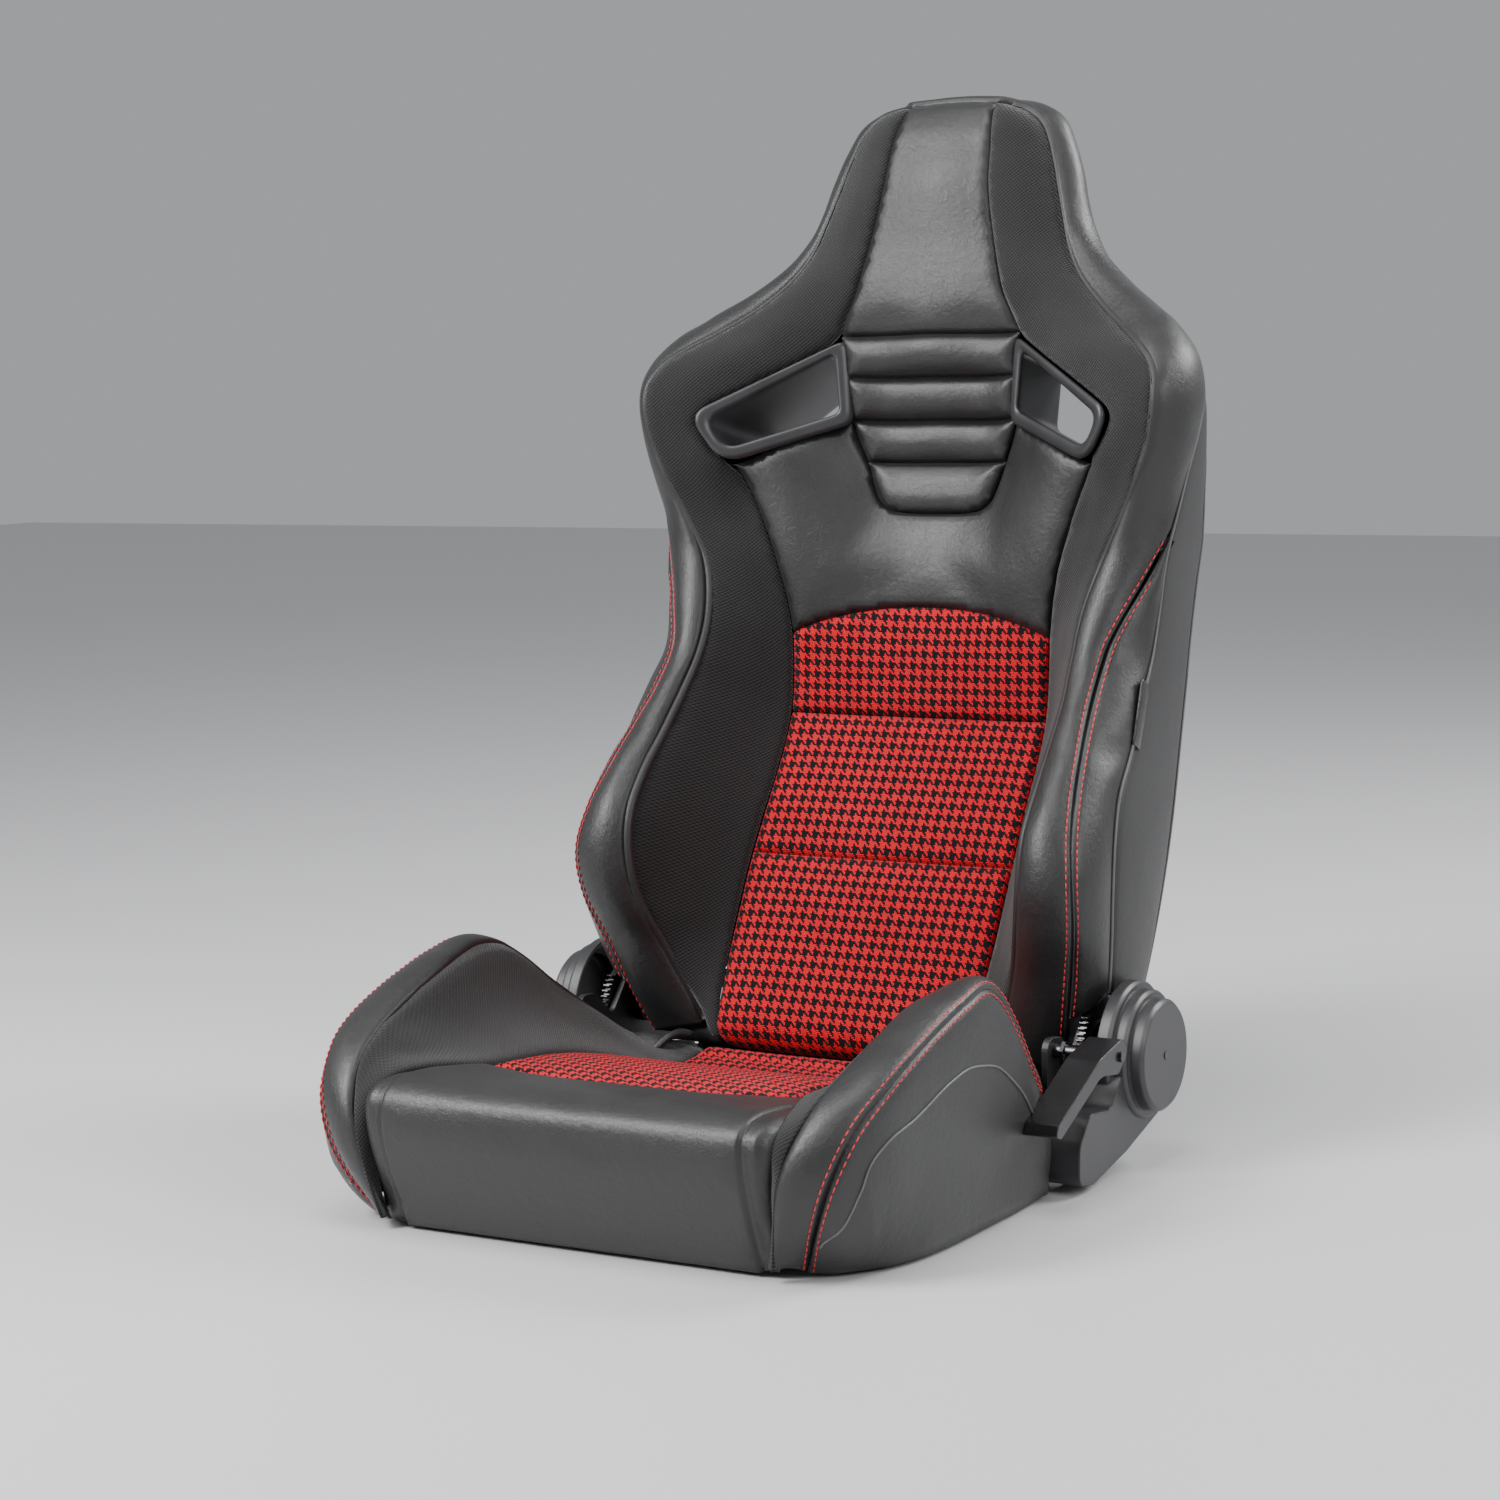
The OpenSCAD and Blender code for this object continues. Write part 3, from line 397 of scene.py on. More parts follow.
def along(V, N, col_from, dist):
    """Path on a grid panel at a fixed distance from its column edge (col_from 0 or -1)."""
    n, m = V.shape[:2]
    out, nn = [], []
    for i in range(n):
        row = V[i] if col_from == 0 else V[i][::-1]; nr = N[i] if col_from == 0 else N[i][::-1]
        s = np.concatenate([[0], np.cumsum(np.linalg.norm(np.diff(row, axis=0), axis=1))])
        dd = min(dist, s[-1] * 0.45)
        out.append([np.interp(dd, s, row[:, k]) for k in range(3)]); nn.append([np.interp(dd, s, nr[:, k]) for k in range(3)])
    return np.array(out), np.array(nn)


def mirror(P): return np.asarray(P, float) * [-1, 1, 1]


# ------------------------------------------------------------------ materials
def nodes_for(name):
    m = bpy.data.materials.new(name); m.use_nodes = True
    nt = m.node_tree; nt.nodes.clear()
    out = nt.nodes.new("ShaderNodeOutputMaterial"); b = nt.nodes.new("ShaderNodeBsdfPrincipled")
    nt.links.new(b.outputs[0], out.inputs[0])
    return m, nt, b


def N_(nt, kind, **kw):
    n = nt.nodes.new(kind)
    for k, v in kw.items():
        if k in n.inputs.keys() if hasattr(n.inputs, "keys") else False: n.inputs[k].default_value = v
        else: setattr(n, k, v)
    return n


def math_(nt, op, a, b=None, c=None):
    n = nt.nodes.new("ShaderNodeMath"); n.operation = op
    for i, x in enumerate((a, b, c)):
        if x is None: continue
        if isinstance(x, (int, float)): n.inputs[i].default_value = x
        else: nt.links.new(x, n.inputs[i])
    return n.outputs[0]


def ramp(nt, fac, stops):
    r = nt.nodes.new("ShaderNodeValToRGB"); e = r.color_ramp.elements
    e[0].position, e[0].color = stops[0][0], (*stops[0][1], 1); e[1].position, e[1].color = stops[-1][0], (*stops[-1][1], 1)
    for p, c in stops[1:-1]:
        x = e.new(p); x.color = (*c, 1)
    nt.links.new(fac, r.inputs[0]); return r.outputs[0]


def grey(v): return (v, v, v * 1.02)


def leather(name, base=0.02, rough=0.42, crease=0.5):
    m, nt, b = nodes_for(name)
    tc = nt.nodes.new("ShaderNodeTexCoord"); co = tc.outputs["Object"]
    v1 = N_(nt, "ShaderNodeTexVoronoi"); v1.inputs["Scale"].default_value = 620; v1.feature = "DISTANCE_TO_EDGE"; nt.links.new(co, v1.inputs["Vector"])
    n0 = N_(nt, "ShaderNodeTexNoise"); n0.inputs["Scale"].default_value = 900; n0.inputs["Detail"].default_value = 3; nt.links.new(co, n0.inputs["Vector"])
    n1 = N_(nt, "ShaderNodeTexNoise"); n1.inputs["Scale"].default_value = 26; n1.inputs["Detail"].default_value = 4; nt.links.new(co, n1.inputs["Vector"])
    n2 = N_(nt, "ShaderNodeTexNoise"); n2.inputs["Scale"].default_value = 150; n2.inputs["Detail"].default_value = 5; n2.inputs["Distortion"].default_value = 0.6; nt.links.new(co, n2.inputs["Vector"])
    g = math_(nt, "MINIMUM", math_(nt, "MULTIPLY", v1.outputs["Distance"], 9.0), 1.0)
    h = math_(nt, "ADD", math_(nt, "MULTIPLY", g, 0.7), math_(nt, "MULTIPLY", n0.outputs["Fac"], 0.5))
    bp = nt.nodes.new("ShaderNodeBump"); bp.inputs["Strength"].default_value = 0.34; bp.inputs["Distance"].default_value = 0.0004; nt.links.new(h, bp.inputs["Height"])
    b2 = nt.nodes.new("ShaderNodeBump"); b2.inputs["Strength"].default_value = 0.38 * crease; b2.inputs["Distance"].default_value = 0.003; nt.links.new(n2.outputs["Fac"], b2.inputs["Height"])
    nt.links.new(bp.outputs[0], b2.inputs["Normal"]); nt.links.new(b2.outputs[0], b.inputs["Normal"])
    nt.links.new(ramp(nt, n1.outputs["Fac"], [(0.3, grey(base * 0.86)), (0.7, grey(base * 1.16))]), b.inputs["Base Color"])
    rr = math_(nt, "ADD", math_(nt, "MULTIPLY", n1.outputs["Fac"], 0.16), rough - 0.08)
    rr = math_(nt, "ADD", rr, math_(nt, "MULTIPLY", math_(nt, "SUBTRACT", 1.0, g), 0.12))
    nt.links.new(rr, b.inputs["Roughness"])
    b.inputs["Specular IOR Level"].default_value = 0.55
    b.inputs["Coat Weight"].default_value = 0.08; b.inputs["Coat Roughness"].default_value = 0.35
    b.inputs["Sheen Weight"].default_value = 0.03
    return m


def mesh_cloth(name):
    """Fine black spacer mesh: offset rows of small holes."""
    m, nt, b = nodes_for(name)
    uv = nt.nodes.new("ShaderNodeUVMap"); uv.uv_map = "cloth"
    sep = nt.nodes.new("ShaderNodeSeparateXYZ"); nt.links.new(uv.outputs[0], sep.inputs[0])
    P = 2 * math.pi / 0.0034
    x = math_(nt, "MULTIPLY", sep.outputs[0], P); y = math_(nt, "MULTIPLY", sep.outputs[1], P)
    a = math_(nt, "COSINE", math_(nt, "ADD", x, y)); c = math_(nt, "COSINE", math_(nt, "SUBTRACT", x, y))
    s = math_(nt, "MULTIPLY", math_(nt, "ADD", a, c), 0.5)           # -1..1 cell pattern
    nz = N_(nt, "ShaderNodeTexNoise"); nz.inputs["Scale"].default_value = 1400; tc = nt.nodes.new("ShaderNodeTexCoord"); nt.links.new(tc.outputs["Object"], nz.inputs["Vector"])
    n1 = N_(nt, "ShaderNodeTexNoise"); n1.inputs["Scale"].default_value = 14; nt.links.new(tc.outputs["Object"], n1.inputs["Vector"])
    f = math_(nt, "ADD", math_(nt, "MULTIPLY", s, 0.5), 0.5)
    # painted shade: the holes are darkened in colour for the shade inside them, times a random broad tone
    hole_shade_and_tone = math_(nt, "MULTIPLY", math_(nt, "POWER", f, 0.7), math_(nt, "ADD", 0.7, math_(nt, "MULTIPLY", n1.outputs["Fac"], 0.6)))
    nt.links.new(ramp(nt, hole_shade_and_tone, [(0.1, grey(0.0035)), (0.55, grey(0.013)), (1.0, grey(0.021))]), b.inputs["Base Color"])
    bp = nt.nodes.new("ShaderNodeBump"); bp.inputs["Strength"].default_value = 0.7; bp.inputs["Distance"].default_value = 0.0009
    nt.links.new(math_(nt, "ADD", f, math_(nt, "MULTIPLY", nz.outputs["Fac"], 0.25)), bp.inputs["Height"]); nt.links.new(bp.outputs[0], b.inputs["Normal"])
    b.inputs["Roughness"].default_value = 0.82
    b.inputs["Sheen Weight"].default_value = 0.18; b.inputs["Sheen Roughness"].default_value = 0.5
    b.inputs["Specular IOR Level"].default_value = 0.25
    return m


def houndstooth(name, pitch=11.0):
    """Woven houndstooth: four light and four dark threads each way, in a 2/2 twill."""
    m, nt, b = nodes_for(name)
    uv = nt.nodes.new("ShaderNodeUVMap"); uv.uv_map = "cloth"
    sep = nt.nodes.new("ShaderNodeSeparateXYZ"); nt.links.new(uv.outputs[0], sep.inputs[0])
    k = 8.0 / (pitch * 0.001)                                          # threads per metre
    X = math_(nt, "MULTIPLY", math_(nt, "ADD", sep.outputs[0], 2.0), k); Y = math_(nt, "MULTIPLY", math_(nt, "ADD", sep.outputs[1], 2.0), k)
    ix, iy = math_(nt, "FLOOR", X), math_(nt, "FLOOR", Y)
    fx, fy = math_(nt, "FRACT", X), math_(nt, "FRACT", Y)
    twill = math_(nt, "LESS_THAN", math_(nt, "MODULO", math_(nt, "ADD", ix, iy), 4.0), 1.5)     # warp on top
    wx = math_(nt, "LESS_THAN", math_(nt, "MODULO", ix, 8.0), 3.5)
    wy = math_(nt, "LESS_THAN", math_(nt, "MODULO", iy, 8.0), 3.5)
    mixn = math_(nt, "ADD", math_(nt, "MULTIPLY", twill, wx), math_(nt, "MULTIPLY", math_(nt, "SUBTRACT", 1.0, twill), wy))   # 1 = dark thread
    # round threads: height across the thread that is on top
    ax = math_(nt, "SUBTRACT", 1.0, math_(nt, "POWER", math_(nt, "ABSOLUTE", math_(nt, "SUBTRACT", math_(nt, "MULTIPLY", fx, 2.0), 1.0)), 2.4))
    ay = math_(nt, "SUBTRACT", 1.0, math_(nt, "POWER", math_(nt, "ABSOLUTE", math_(nt, "SUBTRACT", math_(nt, "MULTIPLY", fy, 2.0), 1.0)), 2.4))
    h = math_(nt, "ADD", math_(nt, "MULTIPLY", twill, ax), math_(nt, "MULTIPLY", math_(nt, "SUBTRACT", 1.0, twill), ay))
    tc = nt.nodes.new("ShaderNodeTexCoord")
    nz = N_(nt, "ShaderNodeTexNoise"); nz.inputs["Scale"].default_value = 2200; nz.inputs["Detail"].default_value = 2; nt.links.new(tc.outputs["Object"], nz.inputs["Vector"])
    n1 = N_(nt, "ShaderNodeTexNoise"); n1.inputs["Scale"].default_value = 35; nt.links.new(tc.outputs["Object"], n1.inputs["Vector"])
    mx = nt.nodes.new("ShaderNodeMix"); mx.data_type = "RGBA"; nt.links.new(mixn, mx.inputs["Factor"])
    mx.inputs[6].default_value = (0.60, 0.009, 0.018, 1); mx.inputs[7].default_value = (0.006, 0.006, 0.008, 1)
    # painted shade: colour darkened where each thread rounds down into the weave, times random fine and broad tone
    weave_shade_and_tone = math_(nt, "MULTIPLY", math_(nt, "ADD", 0.45, math_(nt, "MULTIPLY", h, 0.6)), math_(nt, "ADD", 0.72, math_(nt, "MULTIPLY", nz.outputs["Fac"], 0.55)))
    weave_shade_and_tone = math_(nt, "MULTIPLY", weave_shade_and_tone, math_(nt, "ADD", 0.85, math_(nt, "MULTIPLY", n1.outputs["Fac"], 0.3)))
    ml = nt.nodes.new("ShaderNodeMix"); ml.data_type = "RGBA"; ml.blend_type = "MULTIPLY"; ml.inputs["Factor"].default_value = 1.0
    cr = nt.nodes.new("ShaderNodeCombineColor"); [nt.links.new(weave_shade_and_tone, cr.inputs[i]) for i in range(3)]
    nt.links.new(mx.outputs[2], ml.inputs[6]); nt.links.new(cr.outputs[0], ml.inputs[7]); nt.links.new(ml.outputs[2], b.inputs["Base Color"])
    bp = nt.nodes.new("ShaderNodeBump"); bp.inputs["Strength"].default_value = 0.55; bp.inputs["Distance"].default_value = 0.0007
    nt.links.new(math_(nt, "ADD", h, math_(nt, "MULTIPLY", nz.outputs["Fac"], 0.3)), bp.inputs["Height"]); nt.links.new(bp.outputs[0], b.inputs["Normal"])
    b.inputs["Roughness"].default_value = 0.85; b.inputs["Specular IOR Level"].default_value = 0.14
    b.inputs["Sheen Weight"].default_value = 0.05; b.inputs["Sheen Roughness"].default_value = 0.4
    return m


def hard(name, col, rough, metal=0.0, grain=900, bump=0.08, coat=0.0, bevel=0.0012, spec=0.5, wear=0.0):
    m, nt, b = nodes_for(name)
    tc = nt.nodes.new("ShaderNodeTexCoord"); co = tc.outputs["Object"]
    nz = N_(nt, "ShaderNodeTexNoise"); nz.inputs["Scale"].default_value = grain; nz.inputs["Detail"].default_value = 3; nt.links.new(co, nz.inputs["Vector"])
    n1 = N_(nt, "ShaderNodeTexNoise"); n1.inputs["Scale"].default_value = 22; n1.inputs["Detail"].default_value = 4; nt.links.new(co, n1.inputs["Vector"])
    c0 = tuple(x * 0.85 for x in col); c1 = tuple(min(1, x * 1.18) for x in col)
    nt.links.new(ramp(nt, n1.outputs["Fac"], [(0.3, c0), (0.7, c1)]), b.inputs["Base Color"])
    nt.links.new(math_(nt, "ADD", math_(nt, "MULTIPLY", n1.outputs["Fac"], 0.14), rough - 0.07), b.inputs["Roughness"])
    b.inputs["Metallic"].default_value = metal; b.inputs["Coat Weight"].default_value = coat; b.inputs["Coat Roughness"].default_value = 0.08
    b.inputs["Specular IOR Level"].default_value = spec
    bp = nt.nodes.new("ShaderNodeBump"); bp.inputs["Strength"].default_value = bump; bp.inputs["Distance"].default_value = 0.0005
    nt.links.new(nz.outputs["Fac"], bp.inputs["Height"])
    if bevel:
        bv = nt.nodes.new("ShaderNodeBevel"); bv.samples = 4; bv.inputs["Radius"].default_value = bevel
        nt.links.new(bv.outputs[0], bp.inputs["Normal"])
    nt.links.new(bp.outputs[0], b.inputs["Normal"])
    return m


LEATHER = leather("black_leather", 0.0115, 0.39)
LEATHER2 = leather("rear_leatherette", 0.009, 0.52, 0.3)
MESH = mesh_cloth("black_mesh")
HOUND = houndstooth("houndstooth_fabric")
THREAD = hard("red_thread", (0.62, 0.02, 0.03), 0.6, grain=3000, bump=0.5, bevel=0)
# piping and cushion accent seam: black leather painted light grey (base 0.095) as a painted highlight along the rolled
# edges
PIPING_HIGHLIGHT = leather("piping_painted_highlight", 0.095, 0.32, 0.2)
# welt edges beside the stitched seam: black leather painted grey (base 0.045) as a painted highlight on the folded
# edges
EDGE_HIGHLIGHT = leather("seam_edge_painted_highlight", 0.045, 0.36, 0.2)
PLASTIC = hard("black_plastic", (0.034, 0.034, 0.036), 0.38, grain=1500, bump=0.22, bevel=0.0028)
BEZELM = hard("bezel_plastic", (0.03, 0.03, 0.032), 0.36, grain=1800, bump=0.12)
LEVERM = hard("lever_plastic", (0.011, 0.011, 0.012), 0.26, grain=1500, bump=0.12, bevel=0.002)
STEEL = hard("powder_steel", (0.012, 0.012, 0.013), 0.45, grain=700, bump=0.3)
GLOSS = hard("gloss_steel", (0.006, 0.006, 0.0065), 0.16, grain=300, bump=0.05, coat=0.6)
ZINC = hard("zinc_steel", (0.085, 0.085, 0.09), 0.28, metal=1.0, grain=500, bump=0.1, bevel=0.0006)
SPRING = hard("spring_steel", (0.05, 0.05, 0.055), 0.34, metal=1.0, grain=800, bump=0.1, bevel=0)
BRONZE = hard("bronze_bush", (0.5, 0.33, 0.14), 0.35, metal=1.0, grain=500, bump=0.1, bevel=0)
RUBBER = hard("cable_sheath", (0.012, 0.012, 0.012), 0.6, grain=900, bump=0.15, bevel=0)
TAB = leather("tab_tape", 0.006, 0.22, 0.1)
SLOTMAT = dict(black_leather=LEATHER, houndstooth_fabric=HOUND, black_mesh=MESH, powder_steel=STEEL, gloss_steel=GLOSS, zinc_steel=ZINC,
               spring_steel=SPRING, bronze_bush=BRONZE, black_plastic=PLASTIC, lever_plastic=LEVERM, cable_sheath=RUBBER)
for sp in frame["record"]["subparts"]:
    o = frame["nodes"][sp["node"]]
    for s in o.material_slots: s.material = SLOTMAT[sp["material_slot"]]

# ------------------------------------------------------------------ backrest: curves, from the bottom up to the middle of the head
#       front seam (mesh to leather) | stitched seam    | side seam          | rear corner
ROWS = [((146, -12, 18), (209, -24, 4), (249, 42, 22), (223, 41, -102.5)),
        ((158, 14, 34), (221, 10, 34), (251, 47, 25), (225, 46, -103.5)),
        ((176, 56, 62), (234, 58, 66), (254, 54, 29), (226, 51, -104)),
        ((189, 92, 92), (245, 95, 94), (257, 92, 40), (229, 92, -110)),
        ((195, 130, 109), (248, 134, 111), (258, 132, 49), (231, 132, -115)),
        ((197, 170, 112), (242, 175, 107), (257.5, 175, 53), (232, 175, -120)),
        ((197, 210, 96), (234, 215, 90), (255, 215, 46), (232, 215, -124)),
        ((195, 250, 72), (227, 255, 69), (252, 257, 23), (231.5, 257, -127)),
        ((193, 290, 50), (221, 295, 46), (249.5, 298, 7), (231, 298, -129)),
        ((190, 332, 32), (220, 337, 26), (247, 342, -13), (231, 342, -130)),
        ((191, 375, 22), (230, 382, 20), (248, 387, -17), (231, 385, -130)),
        ((201, 418, 17), (242, 425, 12), (253.5, 430, -9), (234, 430, -126)),
        ((219, 455, 26), (254, 462, 5), (260, 466, -8), (239.5, 468, -117)),
        ((237, 490, 38), (264, 498, 8), (265, 505, -11), (242, 508, -106)),
        ((252, 527, 53), (273, 535, 18), (268, 545, -20), (243, 545, -97)),
        ((257.5, 565, 64), (276, 572, 29), (268.5, 580, -24), (238, 582, -87)),
        ((249, 590, 60), (269, 602, 29), (255, 612, -27), (223, 612, -82)),
        ((228, 612, 47), (248, 627, 25), (234, 636, -28.5), (203, 636, -80)),
        ((202, 634, 29), (222, 648, 14), (212, 655, -30), (186, 654, -79.5)),
        ((174, 658, 14), (190, 676, -5), (185, 678, -37), (158, 678, -79)),
        ((148, 686, 3), (161, 704, -16.5), (157, 704, -46), (133, 704, -78.5)),
        ((131, 715, -4), (143, 732, -25), (137, 732, -51.5), (114, 732, -78)),
        ((121, 745, -7), (131, 762, -29), (125, 762, -53), (104.5, 762, -77.5)),
        ((112, 775, -9), (123, 790, -31), (117, 790, -53), (98, 790, -76.5)),
        ((104, 802, -10), (113, 816, -32.5), (106.5, 816, -53), (87, 816, -71.5)),
        ((93, 828, -11), (101, 839, -33), (95, 839, -53), (74, 838, -66)),
        ((77, 844, -11.5), (83, 852, -34), (78, 853, -53), (60, 850, -62)),
        ((58, 852, -12), (61, 859, -34), (57, 859, -53), (42, 856, -60)),
        ((35, 856, -12), (37, 863, -34), (34, 862, -53), (24, 858, -59)),
        ((0, 857.5, -12), (0, 864.5, -34), (0, 863.5, -53), (0, 859, -59))]
R_ = np.array(ROWS, float)                      # station, curve, (u, v, w)
TOP = 12                                        # the stitched seam and the side seam meet near this station
nst = len(R_)
q = np.linspace(0, nst - 1, 210)
full = np.concatenate([R_, (R_[::-1] * [-1, 1, 1])[1:]], 0)         # right up and over, down the other side
tt = np.arange(len(full))
q2 = np.linspace(0, len(full) - 1, 419)
FS, SS, RS, BS = (hermite(tt, full[:, k], q2) for k in range(4))
half = 210                                      # samples 0..209 are the +X half
SB = RB = None


def wc(v):
    T = [(-52, 14), (-40, 23), (-28, 30), (-14, 32), (0, 29), (50, 14), (100, 1), (150, -11), (200, -26), (250, -40), (300, -49), (360, -52), (400, -52), (450, -51), (500, -50), (540, -43), (580, -28), (610, -13), (640, 1),
         (680, 9), (720, 12), (760, 13), (800, 10), (830, 5), (848, -3), (858, -12), (870, -26)]
    return hermite([a for a, _ in T], [b for _, b in T], np.clip(v, -52, 870))


def uc(v):
    T = [(-52, 116), (-30, 122), (-10, 126), (60, 131), (150, 132), (290, 130.5), (361, 132), (423, 145), (511, 172), (560, 150), (610, 100), (640, 88), (700, 68), (770, 54), (860, 45)]
    return hermite([a for a, _ in T], [b for _, b in T], np.clip(v, -52, 860))


fF = FS[:half]
def fu(v): return np.interp(v, fF[:, 1], fF[:, 0])
def fw(v): return np.interp(v, fF[:, 1], fF[:, 2])


def base_w(u, v):
    a = np.abs(u); c, f = uc(v), np.maximum(fu(v), uc(v) + 6)
    t = np.clip((a - c) / (f - c), 0, 1.3)
    centre = wc(v) + 6 * np.clip(a / c, 0, 1)**2
    s = t**1.55
    return centre + (fw(v) - centre) * s


KN = [(89, 630, -8), (84, 560, -24), (189, 511, 31), (211, 548, 43), (150, 592, 18), (136, 536, 4), (180, 511, 10), (145, 423, -18), (162, 466, -6), (132, 361, -40), (130, 288, -51), (131, 152, -8),
      (85, 590, -16), (82, 559, -33), (67, 523, -44), (53, 484, -47), (77, 667, 6), (94, 636, -1), (68, 699, 9), (60, 734, 11), (54, 769, 13), (51, 806, 10),
      (0, 361, -52), (0, 484, -50), (0, 634, -2), (0, 769, 13), (0, 152, -11), (0, 560, -37), (0, 600, -20)]
for k in range(0, half, 9): KN.append(tuple(fF[k]))
KN = np.array(KN, float)
KN = np.vstack([KN, KN[KN[:, 0] > 1] * [-1, 1, 1]])


def tps_fit(K, res):
    d = np.linalg.norm(K[:, None, :2] - K[None, :, :2], axis=2) / 100
    A = np.where(d > 0, d**2 * np.log(np.maximum(d, 1e-9)), 0) + np.eye(len(K)) * 0.02
    P = np.c_[np.ones(len(K)), K[:, :2] / 100]
    M = np.block([[A, P], [P.T, np.zeros((3, 3))]])
    return np.linalg.solve(M, np.r_[res, 0, 0, 0])


TP = tps_fit(KN, KN[:, 2] - base_w(KN[:, 0], KN[:, 1]))


def W(u, v):
    Q = np.c_[u, v]; d = np.linalg.norm(Q[:, None] - KN[None, :, :2], axis=2) / 100
    A = np.where(d > 0, d**2 * np.log(np.maximum(d, 1e-9)), 0)
    return base_w(u, v) + A @ TP[:-3] + np.c_[np.ones(len(u)), Q / 100] @ TP[-3:]


def on_back(Q): return back(np.c_[Q[:, 0], Q[:, 1], W(Q[:, 0], Q[:, 1])])


_out[0] = Vector((0, -CS, SN))
right = dict(v=1)
SLOT_OUT = np.array([(86, 634), (81, 557), (186, 507), (214, 549)], float)
slot_rim = rounded(SLOT_OUT, [12, 9, 20, 18])

# houndstooth insert in three fields
arc = [(132 * math.cos(a), 361 + 28 * math.sin(a)) for a in np.linspace(0, math.pi, 30)]
arc = np.array([(x, 361 + 28 * (1 - (abs(x) / 132)**2.0)) for x in np.linspace(132, -132, 40)])
edge = np.array([(125, -24), (126, -14), (128.5, 20), (131, 60), (132, 120), (132, 152), (131.5, 200), (130.5, 250), (130.5, 288), (131, 325), (132, 361)], float)
edge_s = spline(edge, 4)
def part_edge(lo, hi): return np.array([(np.interp(v, edge[:, 1], edge[:, 0]), v) for v in np.linspace(lo, hi, max(3, int((hi - lo) / 6)))])
def field(name, lo, hi, top=None, bottom=None):
    r = part_edge(lo, hi)
    t = top if top is not None else np.array([(x, hi) for x in np.linspace(r[-1, 0], -r[-1, 0], 30)])
    bt = np.array([(x, lo) for x in np.linspace(-r[0, 0], r[0, 0], 30)])
    P = np.vstack([r, t[1:-1], (r * [-1, 1])[::-1], bt[1:-1]])
    return flat_panel(name, P, [], on_back, HOUND, "backrest", step=6.5, height=lambda d: tuck(d, 3.5, 11, 3.0, 60))
h3 = field("back_insert_top", 288, 361, arc)
h2 = field("back_insert_middle", 152, 288)
aw = lambda v: np.interp(v, edge[:, 1], edge[:, 0])
rows_, uvs = [], []
us = np.linspace(-1, 1, 45)
for v in np.linspace(152, -10, 30):
    Q = np.c_[us * aw(v), np.full(45, v)]; rows_.append(on_back(Q)); uvs.append(Q)
w10 = W(us * aw(-10), np.full(45, -10.0))
for k_, (v, dw, nx, da) in enumerate([(-16, -1.0, 0.995, 6), (-21.5, -4.0, 0.985, 12), (-26, -9.5, 0.97, 19), (-28.5, -16.5, 0.955, 26), (-29, -25.0, 0.94, 35), (-27, -36.0, 0.93, 46)]):
    u_ = us * aw(-10) * nx; rows_.append(back(np.c_[u_, np.full(45, v), w10 + dw])); uvs.append(np.c_[us * aw(-10), np.full(45, -10.0 - da)])
h1, _, _ = grid_panel("back_insert_lower", np.array(rows_), HOUND, "backrest", seams=((3.5, 11), 0, (3.5, 11), (3.5, 11)), crown=(3.0, 60), out=lambda V: back(np.tile([0, 0, 1.0], (len(V), 1))) - back(np.zeros((len(V), 3))), uvq=uvs)
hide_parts("back_centre_pad")

# chest panel in leather, around the foot of the pleated pad
PAD_SIDE = np.array([(91, 634), (87, 600), (84, 562), (79, 545), (70, 524), (62, 500)], float)
pad_foot = np.array([(57, 489), (48, 481.5), (36, 478.5), (18, 477.5), (0, 477)], float)
pad_low = np.vstack([PAD_SIDE[2:], pad_foot])                  # from the bezel corner down to the middle
pad_low = spline(pad_low, 4)
chest_side = spline([(132, 361), (137, 392), (145, 423), (155, 452), (166, 480), (180, 509)], 5)
low_edge = np.array([(184, 508), (170, 514.5), (150, 524), (120, 538.5), (95, 550.5), (85, 558)], float)
rt = np.vstack([chest_side, low_edge, pad_low[:-1]])
P = np.vstack([rt, [[0, 477]], (rt * [-1, 1])[::-1], arc[::-1][1:-1]])
chest = flat_panel("chest_panel", P, [], on_back, LEATHER, "backrest", step=6.5, height=lambda d: tuck(d, 3.5, 9, 3.5, 70))
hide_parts("upper_back_pad")

# pleated pad: four sewn pleats
PAD = np.vstack([PAD_SIDE, pad_foot])
PADS = np.vstack([spline(PAD_SIDE[:3], 5), spline(PAD[2:], 4)[1:]])
def pad_u(v): return np.interp(v, PADS[::-1, 1], PADS[::-1, 0])
def pleat(name, lo, hi, sag=0.0):
    vs = np.linspace(lo, hi, 14)
    side = np.array([(pad_u(v), v) for v in vs])
    if lo < 478: side = np.vstack([p_ for p_ in PADS[::-1] if p_[1] <= hi - 1] + [(pad_u(hi), hi)])
    P = np.vstack([side, (side * [-1, 1])[::-1]])
    keep = [0]
    for i in range(1, len(P)):
        if np.linalg.norm(P[i] - P[keep[-1]]) > 0.4: keep.append(i)
    return flat_panel(name, P[keep], [], on_back, LEATHER, "backrest", step=4.5, height=lambda d: tuck(d, 7.0, 17, 3.0, 22) + 4.5, t=8, soft=0.9)
pl = [pleat("pleat_1", 598, 634), pleat("pleat_2", 561, 598), pleat("pleat_3", 524, 561), pleat("pleat_4", 477, 524)]

# head strip in leather
strip_r = spline([(92, 634), (84, 652), (77, 667), (68, 699), (60, 734), (54, 769), (51, 806), (47, 834), (44, 853)], 6)
st = np.vstack([strip_r, (strip_r * [-1, 1])[::-1]])
topc = np.array([(x, np.interp(abs(x), fF[::-1, 0], fF[::-1, 1])) for x in np.linspace(44, -44, 20)])
P = np.vstack([strip_r[:-1], topc, (strip_r[:-1] * [-1, 1])[::-1]])
strip = flat_panel("head_strip", P, [], on_back, LEATHER, "backrest", step=6.5, height=lambda d: tuck(d, 3.0, 8, 3.0, 45))
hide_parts("headrest_pad")

